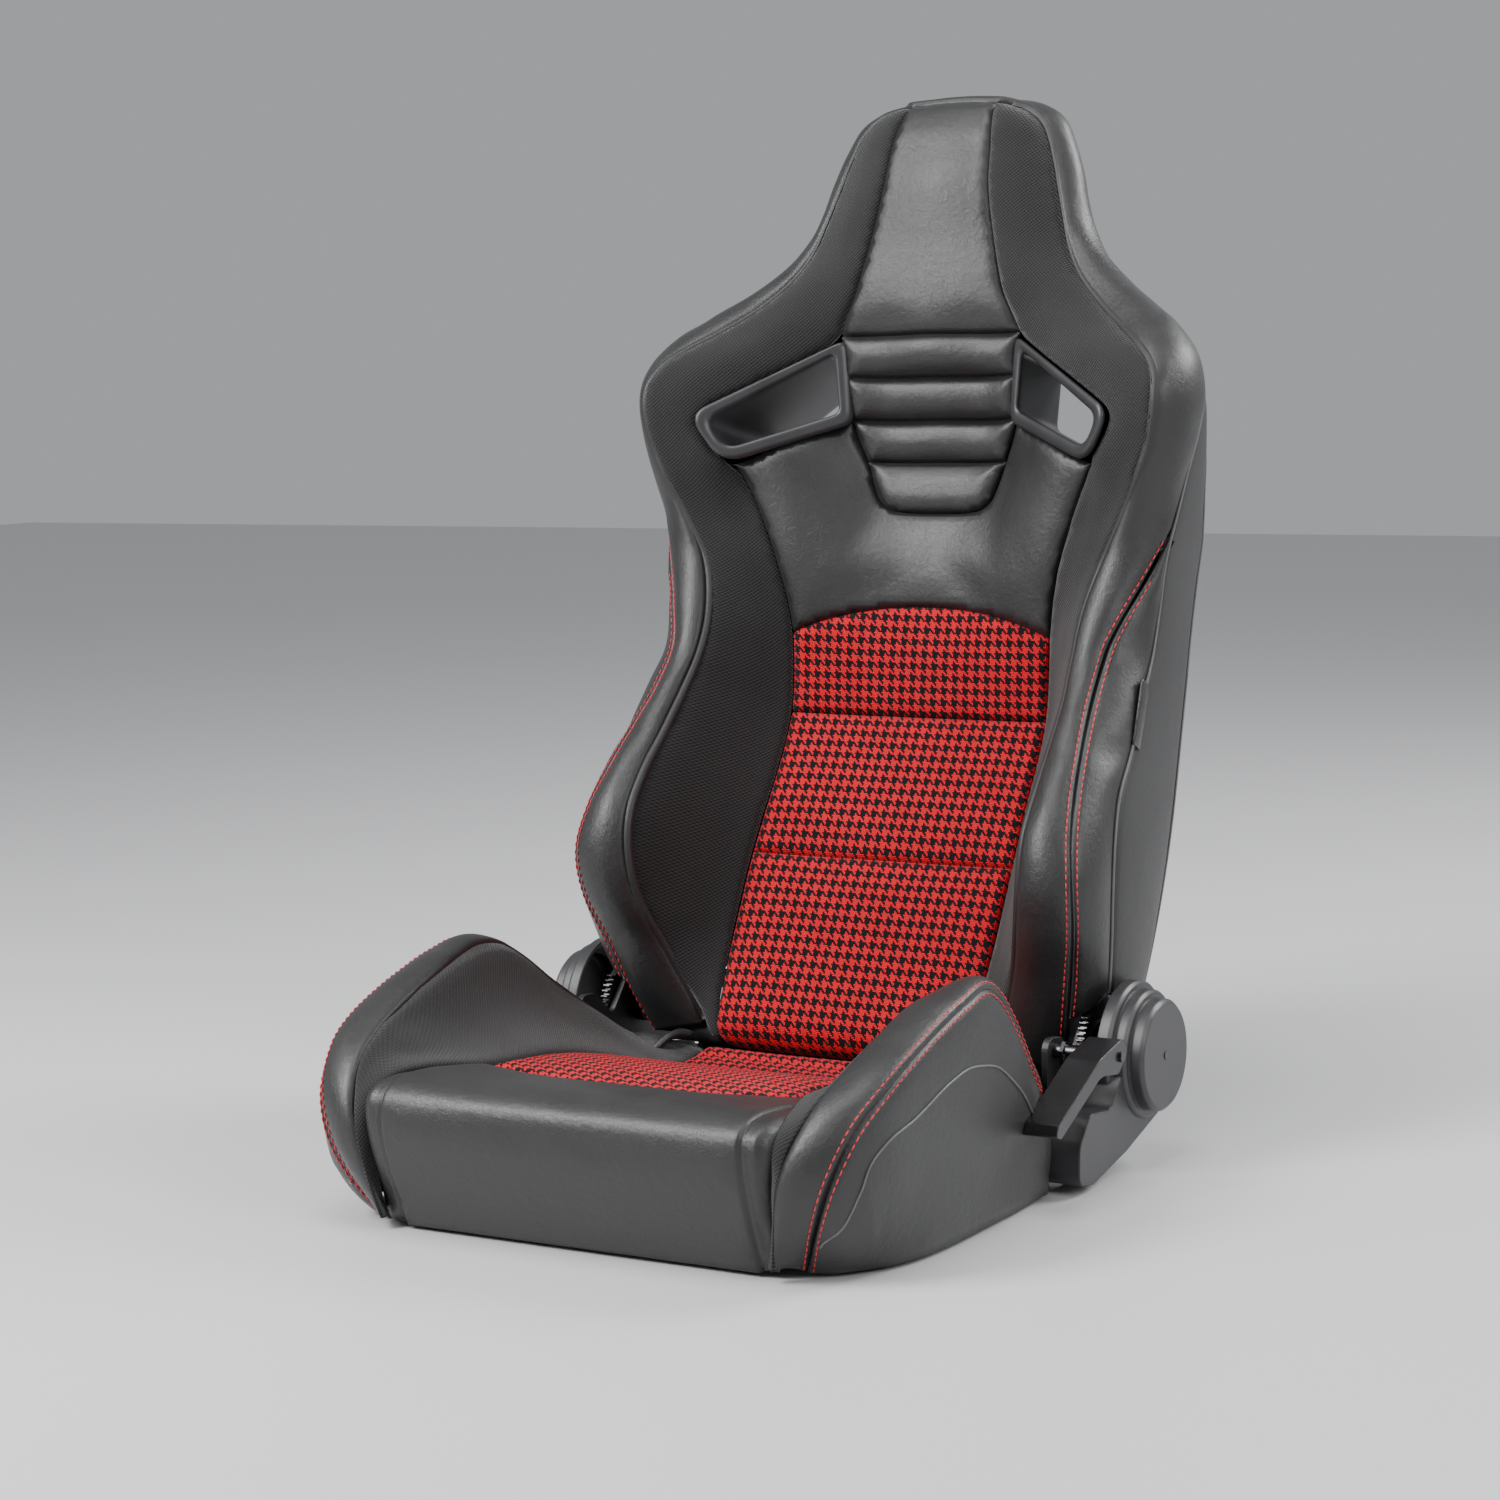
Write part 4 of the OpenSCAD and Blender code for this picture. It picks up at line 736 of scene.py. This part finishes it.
# mesh wings
for side, tag in ((1, "left"), (-1, "right")):
    k_top = int(np.argmin(np.abs(fF[:, 0] - 44) + (fF[:, 1] < 800) * 1e3))
    outer = fF[:k_top + 1, :2][::-1]                            # head down to the foot
    rim_part = np.vstack([[(184, 508)], smooth_corner(SLOT_OUT, 2, 20, 8)[4:], smooth_corner(SLOT_OUT, 3, 18, 8), [(150, 591.6), (120, 611.7)], smooth_corner(SLOT_OUT, 0, 12, 8)[::-1][:0].reshape(0, 2), [(98, 627)]])
    foot = np.array([(146, -12), (143, -17), (137, -21), (130, -23.5), (125, -24)], float)
    P = np.vstack([edge_s, chest_side[1:-1], rim_part, strip_r, outer, spline(foot, 6)[:-1]])
    keep = [0]
    for i in range(1, len(P)):
        if np.linalg.norm(P[i] - P[keep[-1]]) > 0.6: keep.append(i)
    P = P[keep]
    wing = flat_panel("mesh_wing_" + tag, P, [], on_back, MESH, "backrest", step=6.0, height=lambda d: tuck(d, 3.0, 8, 2.0, 40), side=side)
    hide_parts("shoulder_pad_" + tag)

# leather band round the outline: one piece from foot to foot over the head
n2 = len(FS); M2 = np.zeros_like(FS); E2 = np.zeros_like(FS)
kt = int(11.9 / (nst - 1) * (half - 1)); k0 = int(9.2 / (nst - 1) * (half - 1)); k1 = int(1.3 / (nst - 1) * (half - 1))
for i in range(n2):
    k = min(i, n2 - 1 - i); sg = 1 if i < half else -1
    f = min(1.0, max(0.0, (k - k0) / (kt - k0))) ** 1.5; f = f if f < 0.9 else 1 - 0.1 * max(0.0, (1 - f) / 0.1) ** 1.5 if f < 1 else 1.0
    E2[i] = SS[i] * (1 - f) + RS[i] * f
    M2[i] = ((FS[i] + SS[i]) / 2 + np.array([sg * 2.0, 0, 6.5])) * (1 - f) + (SS[i] + np.array([sg * 1.0, 0, 1.0])) * f
FSw = FS.copy(); FSw[:, 2] = W(FS[:, 0], FS[:, 1])
band_rows = arc3(FSw, M2, E2, 15)
def from_axis(V):
    v = (V[:, 1] - HY) * SN + (V[:, 2] - HZ) * CS
    return V - back(np.c_[V[:, 0] * 0.6, v, np.full(len(V), -45.0)])
for sidx, rows_ in (("all", band_rows),):
    G = back(rows_)
    band, bV, bN = grid_panel("outline_band", G, LEATHER, "backrest", seams=(0, 0, (3.0, 8), (2.4, 4)), crown=(1.5, 25), out=from_axis)
# folded seam allowance behind the seam of mesh and band
sa = FSw.copy(); sa[:, 2] -= 7.0; sa[:half, 0] += 1.0; sa[half:, 0] -= 1.0
tube("seam_allowance_front", resample(back(sa[2:-2]), 6), 5.0, LEATHER2, "backrest", n=8)
# side leaf between the stitched seam and the side seam
for side, tag in ((1, "left"), (-1, "right")):
    S_, Rr = E2[k1:kt - 1].copy(), RS[k1:kt - 1].copy()
    M_ = (S_ + Rr) / 2 + np.array([5.0, 0, 1.0]) * np.clip(np.linalg.norm(Rr - S_, axis=1, keepdims=True) / 22, 0, 1)
    rows_ = back(arc3(S_, M_, Rr, 11))
    if side < 0: rows_ = mirror(rows_)
    leaf, lV, lN = grid_panel("side_leaf_" + tag, rows_, LEATHER, "backrest", seams=(0, 0, (2.4, 4), (1.2, 3)), crown=(1.0, 20), out=from_axis)
    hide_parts("back_bolster_" + tag)
    # thread on both sides of the seam
    bandV = bV[:kt - 1] if side > 0 else bV[::-1][:kt - 1]; bandN = bN[:kt - 1] if side > 0 else bN[::-1][:kt - 1]
    pth, nn = along(bandV, bandN, -1, 2.6); tube("seam_edge_front_" + tag, pth - nn * 0.5, 0.8, EDGE_HIGHLIGHT, "backrest", n=6)
    pth, nn = along(lV[:-6], lN[:-6], 0, 2.6); tube("seam_edge_rear_" + tag, pth - nn * 0.5, 0.8, EDGE_HIGHLIGHT, "backrest", n=6)
    pth, nn = along(bandV, bandN, -1, 6.0)
    stitches("thread_front_" + tag, pth, nn, THREAD, "backrest")
    pth, nn = along(lV[:-6], lN[:-6], 0, 6.0)
    stitches("thread_rear_" + tag, pth, nn, THREAD, "backrest")
# rear side wall and rear sheet
swell = 3.0 + 5.5 * np.clip((235 - RS[:, 1]) / 60, 0, 1)
rear_rows = arc3(RS, (RS + BS) / 2 + np.array([[swell[i] if i < half else -swell[i], 0, 0] for i in range(n2)]), BS, 14)
G = back(rear_rows[k1:n2 - k1])
wall, wV, wN = grid_panel("rear_wall", G, LEATHER2, "backrest", seams=(0, 0, (1.2, 3), (1.0, 3)), crown=(0, 20), out=from_axis, t=3.0, soft=1.0)
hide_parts("side_cover_left", "side_cover_right")
bF = BS[k1:half]
def rear_w(u, v):
    e = np.interp(v, bF[:, 1], bF[:, 2]); bu = np.maximum(np.interp(v, bF[:, 1], bF[:, 0]), 1)
    return e - 11 * (1 - np.clip(np.abs(u) / bu, 0, 1)**2.2) * np.clip((860 - v) / 60, 0, 1)
def on_rear(Q): return back(np.c_[Q[:, 0], Q[:, 1], rear_w(Q[:, 0], Q[:, 1])])
_out[0] = Vector((0, CS, -SN))
hole = rounded(np.array([[91.5, 624.5], [86.5, 561.5], [184.5, 514.8], [205.5, 548.5]]), [9, 7, 16, 14])
outl = np.vstack([bF[:, :2], (bF[:-1, :2] * [-1, 1])[::-1]])
rear = flat_panel("rear_sheet", outl, [hole, hole * [-1, 1]], on_rear, LEATHER2, "backrest", step=9, height=lambda d: tuck(d, 1.0, 3), t=3, soft=1.0)
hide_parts("rear_cover")
# harness slot bezels: a rounded rim with a tunnel through the backrest
SLOT_IN = np.array([(97, 618), (92, 565), (183.5, 521), (199, 546.5)], float)
SLOT_REAR = np.array([(93, 623), (88, 562), (184, 516.5), (203.5, 548)], float)
ro, ri, rr_ = rounded(SLOT_OUT, [12, 10, 20, 18]), rounded(SLOT_IN, [8, 7, 14, 13]), rounded(SLOT_REAR, [9, 8, 15, 14])
def plane_w(P): return -169.6 + 0.60 * P[:, 0] + 0.17 * P[:, 1]
rf_ = rounded(SLOT_REAR + np.array([(-6, 6), (-6, -5), (2, -7), (7, 2)]), [12, 10, 18, 17])
for side, tag in ((1, "left"), (-1, "right")):
    rings = [np.c_[ro * 0.9 + ri * 0.1, plane_w(ro) - 5]]
    for t in np.linspace(0, math.pi, 11):
        f = (1 - math.cos(t)) / 2; P_ = ro * (1 - f) + ri * f
        rings.append(np.c_[P_, plane_w(P_) - 1.0 + 6.0 * math.sin(t)**0.75])
    rings.append(np.c_[ri, plane_w(ri) - 7])
    far = lambda P_: rear_w(P_[:, 0], P_[:, 1])
    rings.append(np.c_[ri * 0.6 + rr_ * 0.4, np.full(len(ri), -55.0)]); rings.append(np.c_[ri, far(ri) + 4])
    for t in np.linspace(0, math.pi, 9):
        f = (1 - math.cos(t)) / 2; P_ = ri * (1 - f) + rf_ * f
        rings.append(np.c_[P_, far(P_) + 0.5 - 4.0 * math.sin(t)**0.8])
    rings.append(np.c_[rf_ * 0.3 + rr_ * 0.7, far(rr_) + 3]); rings.append(np.c_[rr_, np.full(len(ri), -60.0)]); rings.append(np.c_[rr_, plane_w(rr_) - 9])
    Rg = back(np.array(rings))
    if side < 0: Rg = mirror(Rg)
    n_, m_ = Rg.shape[:2]; V = Rg.reshape(-1, 3); F = []
    for i in range(n_):
        for j in range(m_):
            f = [i * m_ + j, i * m_ + (j + 1) % m_, ((i + 1) % n_) * m_ + (j + 1) % m_, ((i + 1) % n_) * m_ + j]
            F.append(f if side > 0 else f[::-1])
    bz = new_mesh("bezel_" + tag, V, F, BEZELM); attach(bz, "backrest"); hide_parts("harness_bezel_" + tag)
# piping along the side seam and the rear edge
for side, tag in ((1, "left"), (-1, "right")):
    for nm, C_, r_ in (("side", RS, 1.55), ("rear", BS, 1.1)):
        pp = resample(back(C_[k1:half]), 5); pp = pp if side > 0 else mirror(pp)
        tube("piping_%s_%s" % (nm, tag), pp, r_, PIPING_HIGHLIGHT, "backrest", n=8)

# the foot of the backrest: a rolled edge under mesh and band, and a side lining at each end
for side, tag in ((1, "left"), (-1, "right")):
    T = np.array([(123, -20, 24), (130, -20, 22), (137, -17, 19), (146, -9, 14.5), (160, -10, 15), (175, -13, 14), (190, -16, 9), (207, -20, 1)], float)
    T = np.c_[T[:, 0], T[:, 1], np.minimum(T[:, 2], W(T[:, 0], T[:, 1]) - 3.5 + 40 * (T[:, 0] > 147))]
    T = hermite(T[:, 0], T, np.linspace(123, 207, 22)); rows_ = []
    for u_, v_, w_ in T:
        prof = np.array([(v_, w_), (min(v_ - 5, -21), w_ - 1.5), (-25.5, w_ - 6), (-27.5, w_ - 13), (-27.5, min(w_ - 22, -12)), (-25, -26)])
        prof = resample(spline(prof, 3.0), n=18); rows_.append(np.c_[np.full(18, u_), prof])
    G = back(np.array(rows_)) * np.array([side, 1, 1])
    grid_panel("foot_roll_" + tag, G, LEATHER2, "backrest", seams=(0, 0, 0, 0), crown=(0, 20), out=lambda V: V - back(np.tile([side * 165.0, 0, -4.0], (len(V), 1))), t=2.0, soft=0)
    _out[0] = Vector((side, 0, 0))
    P = np.array([(-22, -26), (0, -27), (3, -22), (27, 7), (47, 45), (-92, 46), (-39, 9), (-37, -10), (-30, -22)], float)
    flat_panel("foot_side_" + tag, P, [], lambda Q: back(np.c_[np.interp(Q[:, 1], [-28, -24, 10, 20], [205, 206.5, 218.6, 219.2]), Q[:, 1], Q[:, 0]]), LEATHER2, "backrest", step=7, height=lambda d: 0 * d, side=side, t=1.0, soft=0)

# ------------------------------------------------------------------ cushion
#     inner seam (mesh to leather) | foot of the mesh face | stitched seam | bottom edge
C_ROWS = [((180, -232, 10), (180, -222, 10), (199, -207, 5), (206, -200, 4)),
          ((188, -241, 47), (183, -231, 47), (220, -228, 47), (214, -196, 4)),
          ((194, -245, 79), (184, -236, 79), (233, -233, 78), (224, -188, 4)),
          ((202, -237, 108), (185, -236, 108), (244, -226, 107), (233, -176, 4)),
          ((210, -214, 136), (182, -208, 124), (251, -210, 128), (242, -163, 4)),
          ((215, -177, 156), (168, -168, 125), (258, -184, 147), (249, -146, 4)),
          ((217, -132, 173), (148, -125, 119), (261, -142, 166), (255, -120, 4)),
          ((219, -87, 187), (141, -80, 114), (261.5, -95, 181), (258, -88, 4)),
          ((224, -50, 193.5), (140, -45, 111), (261, -50, 192), (259, -55, 4)),
          ((229, -15, 196.5), (140, -10, 105), (259, -15, 196), (259, -22, 4)),
          ((230, 20, 192), (140, 25, 96.5), (259, 10, 183), (259, 8, 4)),
          ((225, 48, 176), (140, 60, 86.5), (261, 30, 158), (259, 34, 4)),
          ((217, 75, 153), (140, 95, 77), (262, 48, 132), (259, 56, 5)),
          ((210, 105, 131), (140, 130, 67), (262, 64, 108), (259, 76, 5)),
          ((206, 138, 110), (140, 152, 65), (260, 80, 90), (258, 90, 5)),
        ((201, 166, 92), (140, 176, 64), (240, 108, 82), (240, 110, 5)),
        ((192, 186, 81), (139, 190, 66.5), (216, 136, 76), (216, 138, 5)),
        ((174, 197, 77), (138, 199, 68), (200, 160, 72), (200, 160, 5)),
        ((150, 203, 75), (137, 206, 67), (172, 176, 66), (172, 176, 5))]
CR = np.array(C_ROWS, float); tq = np.linspace(0, len(CR) - 1, 134)
NS, QS, OS, GS = (hermite(np.arange(len(CR)), CR[:, k], tq) for k in range(4))
for side, tag in ((1, "left"), (-1, "right")):
    sg = np.array([side, 1, 1])
    # mesh inner face, hollow towards its foot
    M_ = QS + (NS - QS) * np.array([0.62, 0.5, 0.36])
    G = arc3(QS, M_, NS, 14) * sg
    face, fV, fN = grid_panel("cushion_mesh_" + tag, G, MESH, "base", seams=(0, 0, (3.0, 8), (2.5, 6)), crown=(1.5, 40), out=lambda V: np.tile([-side * 1.0, -0.3, 0.6], (len(V), 1)))
    # leather crest
    M_ = (NS + OS) / 2 + np.array([2, 0, 5.0]) + np.array([0, -3.0, 0]) * np.clip((120 - NS[:, 2:3]) / 60, 0, 1)
    G = arc3(NS, M_, OS, 11) * sg
    crest, cV, cN = grid_panel("cushion_crest_" + tag, G, LEATHER, "base", seams=(0, (7.0, 18), (2.5, 6), (2.4, 4)), crown=(1.5, 20), out=lambda V: V - np.array([side * 190.0, -20.0, 40.0]))
    # outer side
    M_ = (OS + GS) / 2; bulge = np.clip((OS[:, 2] - 5) / 60, 0, 1)[:, None]
    M_ = M_ + np.array([8.0, 0, 0]) * (1 - np.clip((M_[:, 0:1] - 240) / 18, 0, 1)) * bulge + np.array([3.0, 0, 0]) * bulge
    M_[:, 0] = np.minimum(M_[:, 0], 263.5)
    G = arc3(OS, M_, GS, 20) * sg
    sidep, sV, sN = grid_panel("cushion_side_" + tag, G, LEATHER, "base", seams=(0, 0, (2.4, 4), 0), crown=(0.5, 20), out=lambda V: V - np.array([side * 180.0, -20.0, 60.0]))
    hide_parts("cushion_bolster_" + tag)
    # lining behind the front seam of roll and bolster
    G = np.array([[(side * x_, -190.0 + 0.06 * z_, z_) for x_ in np.linspace(166, 204 - 0.02 * z_, 8)] for z_ in np.linspace(2, 100, 16)])
    grid_panel("cushion_lining_" + tag, G, LEATHER2, "base", seams=(0, 0, 0, 0), crown=(0, 20), out=lambda V: np.tile([0, -1.0, 0], (len(V), 1)), t=2.0, soft=0)
    # accent seam on the outer side
    Vs = sV.reshape(-1, 3); acc = []
    for y_, z_ in spline([(-221, 30), (-219, 46), (-214, 71), (-206, 93), (-190, 106), (-148, 119), (-96, 135), (-62, 140), (-36, 137), (-9, 130), (12, 117), (33, 99), (48, 80), (58, 62)], 4):
        dd = np.hypot(Vs[:, 1] - y_, Vs[:, 2] - z_); k_ = np.argsort(dd)[:6]; wgt = 1 / (dd[k_] + 0.3)
        acc.append([(Vs[k_, 0] * wgt).sum() / wgt.sum() + side * 0.3, y_, z_])
    acc = np.array(acc); acc[1:-1, 0] = (acc[:-2, 0] + 2 * acc[1:-1, 0] + acc[2:, 0]) / 4
    tube("cushion_accent_" + tag, acc, 1.0, PIPING_HIGHLIGHT, "base", n=8)
    pth, nn = along(cV, cN, -1, 6.0); stitches("cushion_thread_inner_" + tag, pth, nn, THREAD, "base")
    pth, nn = along(sV, sN, 0, 6.0); stitches("cushion_thread_outer_" + tag, pth, nn, THREAD, "base")
# centre insert
def zc(y):
    T = [(-262, 112), (-250, 118), (-235, 122), (-200, 123), (-170, 121), (-143, 118), (-119, 117), (-80, 114.5), (-50, 111.5), (10, 99.5), (70, 82.5), (120, 69), (150, 64), (175, 65), (193, 69), (205, 70), (212, 66)]
    return hermite([a for a, _ in T], [b for _, b in T], np.clip(y, -262, 212))
def on_seat(Q): return np.c_[Q[:, 0], Q[:, 1], zc(Q[:, 1]) + 2.0 * (np.abs(Q[:, 0]) / 140)**2]
_out[0] = Vector((0, 0, 1))
fr = np.array([(x, -144 + 24 * (abs(x) / 150)**2.4) for x in np.linspace(-150, 150, 40)])
sd = np.array([(150, -120), (146, -108), (142, -80), (140, -50), (140, 0), (140, 60), (140, 120), (140, 176), (139, 190), (138, 200), (137, 210)], float)
P = np.vstack([fr, spline(sd, 6)[1:], (spline(sd, 6) * [-1, 1])[::-1][:-1]])
ins = flat_panel("cushion_insert", P, [], on_seat, HOUND, "base", step=7, height=lambda d: tuck(d, 3.5, 10, 1.0, 70), lines=[([(-141, 150), (141, 150)], 2.5, 4.0), ([(-141, 184), (141, 184)], 2.0, 3.5)])
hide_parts("cushion_centre_pad")
# front roll: from the insert's front seam over the edge and down
xs = np.concatenate([[-189, -188.6, -187.2, -184.5], np.linspace(-180, -162, 13), np.linspace(-157, 157, 64), np.linspace(162, 180, 13), [184.5, 187.2, 188.6, 189]])
rows_ = []
for x in xs:
    a = min(abs(x), 189.0); y0 = -144 + 24 * (min(a, 150) / 150)**2.4 - 1.0 * max(0, a - 150)
    pull = 16 * (1 - math.sqrt(max(0.0, 1 - max(0.0, (a - 177) / 12)**2))) + 3.0 * min(1, max(0, (a - 167) / 5))**2          # the ends round off inwards
    prof = [(y0, zc(np.array([y0]))[0] + 2 * min(1, (a / 140)**2)), (y0 - 14, 120), (-190, 123.5), (-220, 124.6), (-237, 122.5), (-247, 115), (-249.5, 104), (-247, 85), (-240, 60), (-231, 35), (-223, 14), (-219, 4)]
    prof = resample(spline(np.array(prof, float), 3.0), n=36)
    c = np.array([-190.0, 80.0]); d_ = prof - c; d_ /= np.linalg.norm(d_, axis=1, keepdims=True)
    rows_.append(np.c_[np.full(36, x), prof - d_ * pull])
roll, rV, rN = grid_panel("cushion_front_roll", np.array(rows_), LEATHER, "base", seams=(0, 0, (4.0, 12), 0), crown=(1.0, 60), out=lambda V: np.tile([0, -1.0, 0.7], (len(V), 1)),
    extra=lambda a_, b_: -3.2 * np.exp(-((np.abs(xs)[:, None] - 168) / 2.2)**2) * np.ones_like(b_))
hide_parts("cushion_front_pad")

# the cushion's rear cloth: a trough that dips under the foot of the backrest, round the hinge line
def trough():
    R0, R1 = 46.4, 47.9
    for tag, x0, x1, end, nx in (("middle", -186, 186, 172, 48), ("left", 186.3, 226, 127, 8), ("right", -226, -186.3, 127, 8)):
        th = np.radians(np.linspace(35, end, 34)); xx = np.linspace(x0, x1, nx)
        V = np.array([[(x, HY - R0 * math.cos(a_), HZ - R0 * math.sin(a_)) for x in xx] for a_ in th]).reshape(-1, 3)
        F = np.array([[i * nx + j, i * nx + j + 1, (i + 1) * nx + j + 1, (i + 1) * nx + j] for i in range(len(th) - 1) for j in range(nx - 1)])
        N = fast_normals(V, F); inward = np.array([0, HY, HZ]) - V * [0, 1, 1]
        if (N * inward).sum() < 0: F = F[:, ::-1]
        uv = np.stack([V[:, 0], np.repeat(np.degrees(th), nx)], -1)
        finish_panel("cushion_rear_trough_" + tag, V, F, LEATHER2, "base", t=R1 - R0, uv=uv, soft=0)
trough()
# folded tab sewn on the side seam: one strip of woven tape, folded in two
def tape_tab():
    path = [(-8.5, 0.5), (-4, 0.42), (0, 0.4), (4, 0.42), (7.2, 0.5)] + [(7.6 + 0.9 * math.sin(t), 1.4 - 0.9 * math.cos(t)) for t in np.linspace(0.2, math.pi - 0.2, 7)] + [(7.2, 2.3), (4, 2.45), (0, 2.5), (-4, 2.3), (-8.5, 1.6)]
    C2 = resample(np.array(path, float), 1.1); d = np.gradient(C2, axis=0); d /= np.linalg.norm(d, axis=1, keepdims=True)
    nrm = np.stack([-d[:, 1], d[:, 0]], -1); loop = np.vstack([C2 + nrm * 0.35, (C2 - nrm * 0.35)[::-1]])
    a_, b_, c_ = (math.radians(t) for t in (-13, 3.2, 1.9))
    Rm = Matrix.Rotation(c_, 3, "Z") @ Matrix.Rotation(b_, 3, "Y") @ Matrix.Rotation(a_, 3, "X"); Rm = np.array(Rm)
    m = len(loop); ys = np.linspace(-30, 30, 21); V = []
    for y in ys:
        bow = 0.5 * (1 - (y / 30) ** 2)
        V += [Rm @ np.array([x + bow * (x > 1.2), y, w]) + np.array([TABX, 290.0, 8.5]) for w, x in loop]
    V = back(np.array(V)); F = []
    for i in range(len(ys) - 1):
        for j in range(m):
            F.append([i * m + j, i * m + (j + 1) % m, (i + 1) * m + (j + 1) % m, (i + 1) * m + j])
    h = m // 2
    for base_, flip in ((0, False), ((len(ys) - 1) * m, True)):
        for j in range(h - 1):
            f = [base_ + j, base_ + j + 1, base_ + m - 2 - j, base_ + m - 1 - j]; F.append(f if flip else f[::-1])
    V = np.asarray(V); Fq = np.array(F); N = fast_normals(V, Fq)
    c = V.mean(0)
    vol = sum(np.dot(V[f[0]] - c, np.cross(V[f[1]] - c, V[f[2]] - c)) + np.dot(V[f[0]] - c, np.cross(V[f[2]] - c, V[f[3]] - c)) for f in F)
    if vol < 0: F = [f[::-1] for f in F]
    uv = V[:, 1:] * 1.0
    o = new_mesh("woven_tab", V, F, TAB, uv=uv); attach(o, "backrest"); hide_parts("side_tab")
TABX = 249.2
tape_tab()

# ------------------------------------------------------------------ stage, light, camera
def floor():
    me = bpy.data.meshes.new("floor"); s = 9.0
    me.from_pydata([(-s, -s, 0), (s, -s, 0), (s, s, 0), (-s, s, 0)], [], [(0, 1, 2, 3)])
    o = bpy.data.objects.new("floor", me); bpy.context.scene.collection.objects.link(o)
    m, nt, b = nodes_for("floor_paint"); b.inputs["Base Color"].default_value = (0.62, 0.62, 0.63, 1); b.inputs["Roughness"].default_value = 0.38
    me.materials.append(m)
floor()


def area(name, loc, target, size, power, col=(1, 1, 1)):
    l = bpy.data.lights.new(name, "AREA"); l.energy = power; l.size = size; l.color = col
    o = bpy.data.objects.new(name, l); bpy.context.scene.collection.objects.link(o)
    o.location = loc; o.rotation_euler = (Vector(target) - Vector(loc)).to_track_quat("-Z", "Y").to_euler()


area("key", (-1.5, -1.7, 2.7), (0, 0.1, 0.5), 1.3, 95)
area("fill", (2.6, -0.6, 1.5), (0, 0.1, 0.4), 1.2, 36)
area("rim", (1.7, 2.2, 2.2), (0, 0.2, 0.5), 1.2, 90)
area("top", (0.0, -0.4, 3.2), (0, 0.2, 0.0), 1.4, 45)
area("front", (-1.1, -1.5, 1.35), (0, 0.3, 0.72), 0.9, 34)
wd = bpy.data.worlds.new("world"); bpy.context.scene.world = wd; wd.use_nodes = True
wd.node_tree.nodes["Background"].inputs[0].default_value = (0.9, 0.92, 0.95, 1); wd.node_tree.nodes["Background"].inputs[1].default_value = 0.42

AZ, PITCH, FPX, DIST, CX, CZ, ROLL = 30.6377, 6.7791, 3374.075, 2873.94, -17.013, 360.743, 1.25534
a, p, r = (math.radians(t) for t in (AZ, PITCH, ROLL))
fwd = Vector((-math.sin(a) * math.cos(p), math.cos(a) * math.cos(p), -math.sin(p)))
rt_ = Vector((math.cos(a), math.sin(a), 0)); up = rt_.cross(fwd)
loc = Vector((CX, -150 + 240, CZ)) - fwd * DIST
cd = bpy.data.cameras.new("camera"); cam = bpy.data.objects.new("camera", cd); bpy.context.scene.collection.objects.link(cam)
cd.sensor_width = 36; cd.lens = FPX / 1500 * 36; cd.clip_end = 50
X = rt_ * math.cos(r) - up * math.sin(r); Y = rt_ * math.sin(r) + up * math.cos(r); Z = -fwd
M = Matrix((X, Y, Z)).transposed().to_4x4(); M.translation = loc * 0.001
cam.matrix_world = M
bpy.context.scene.camera = cam
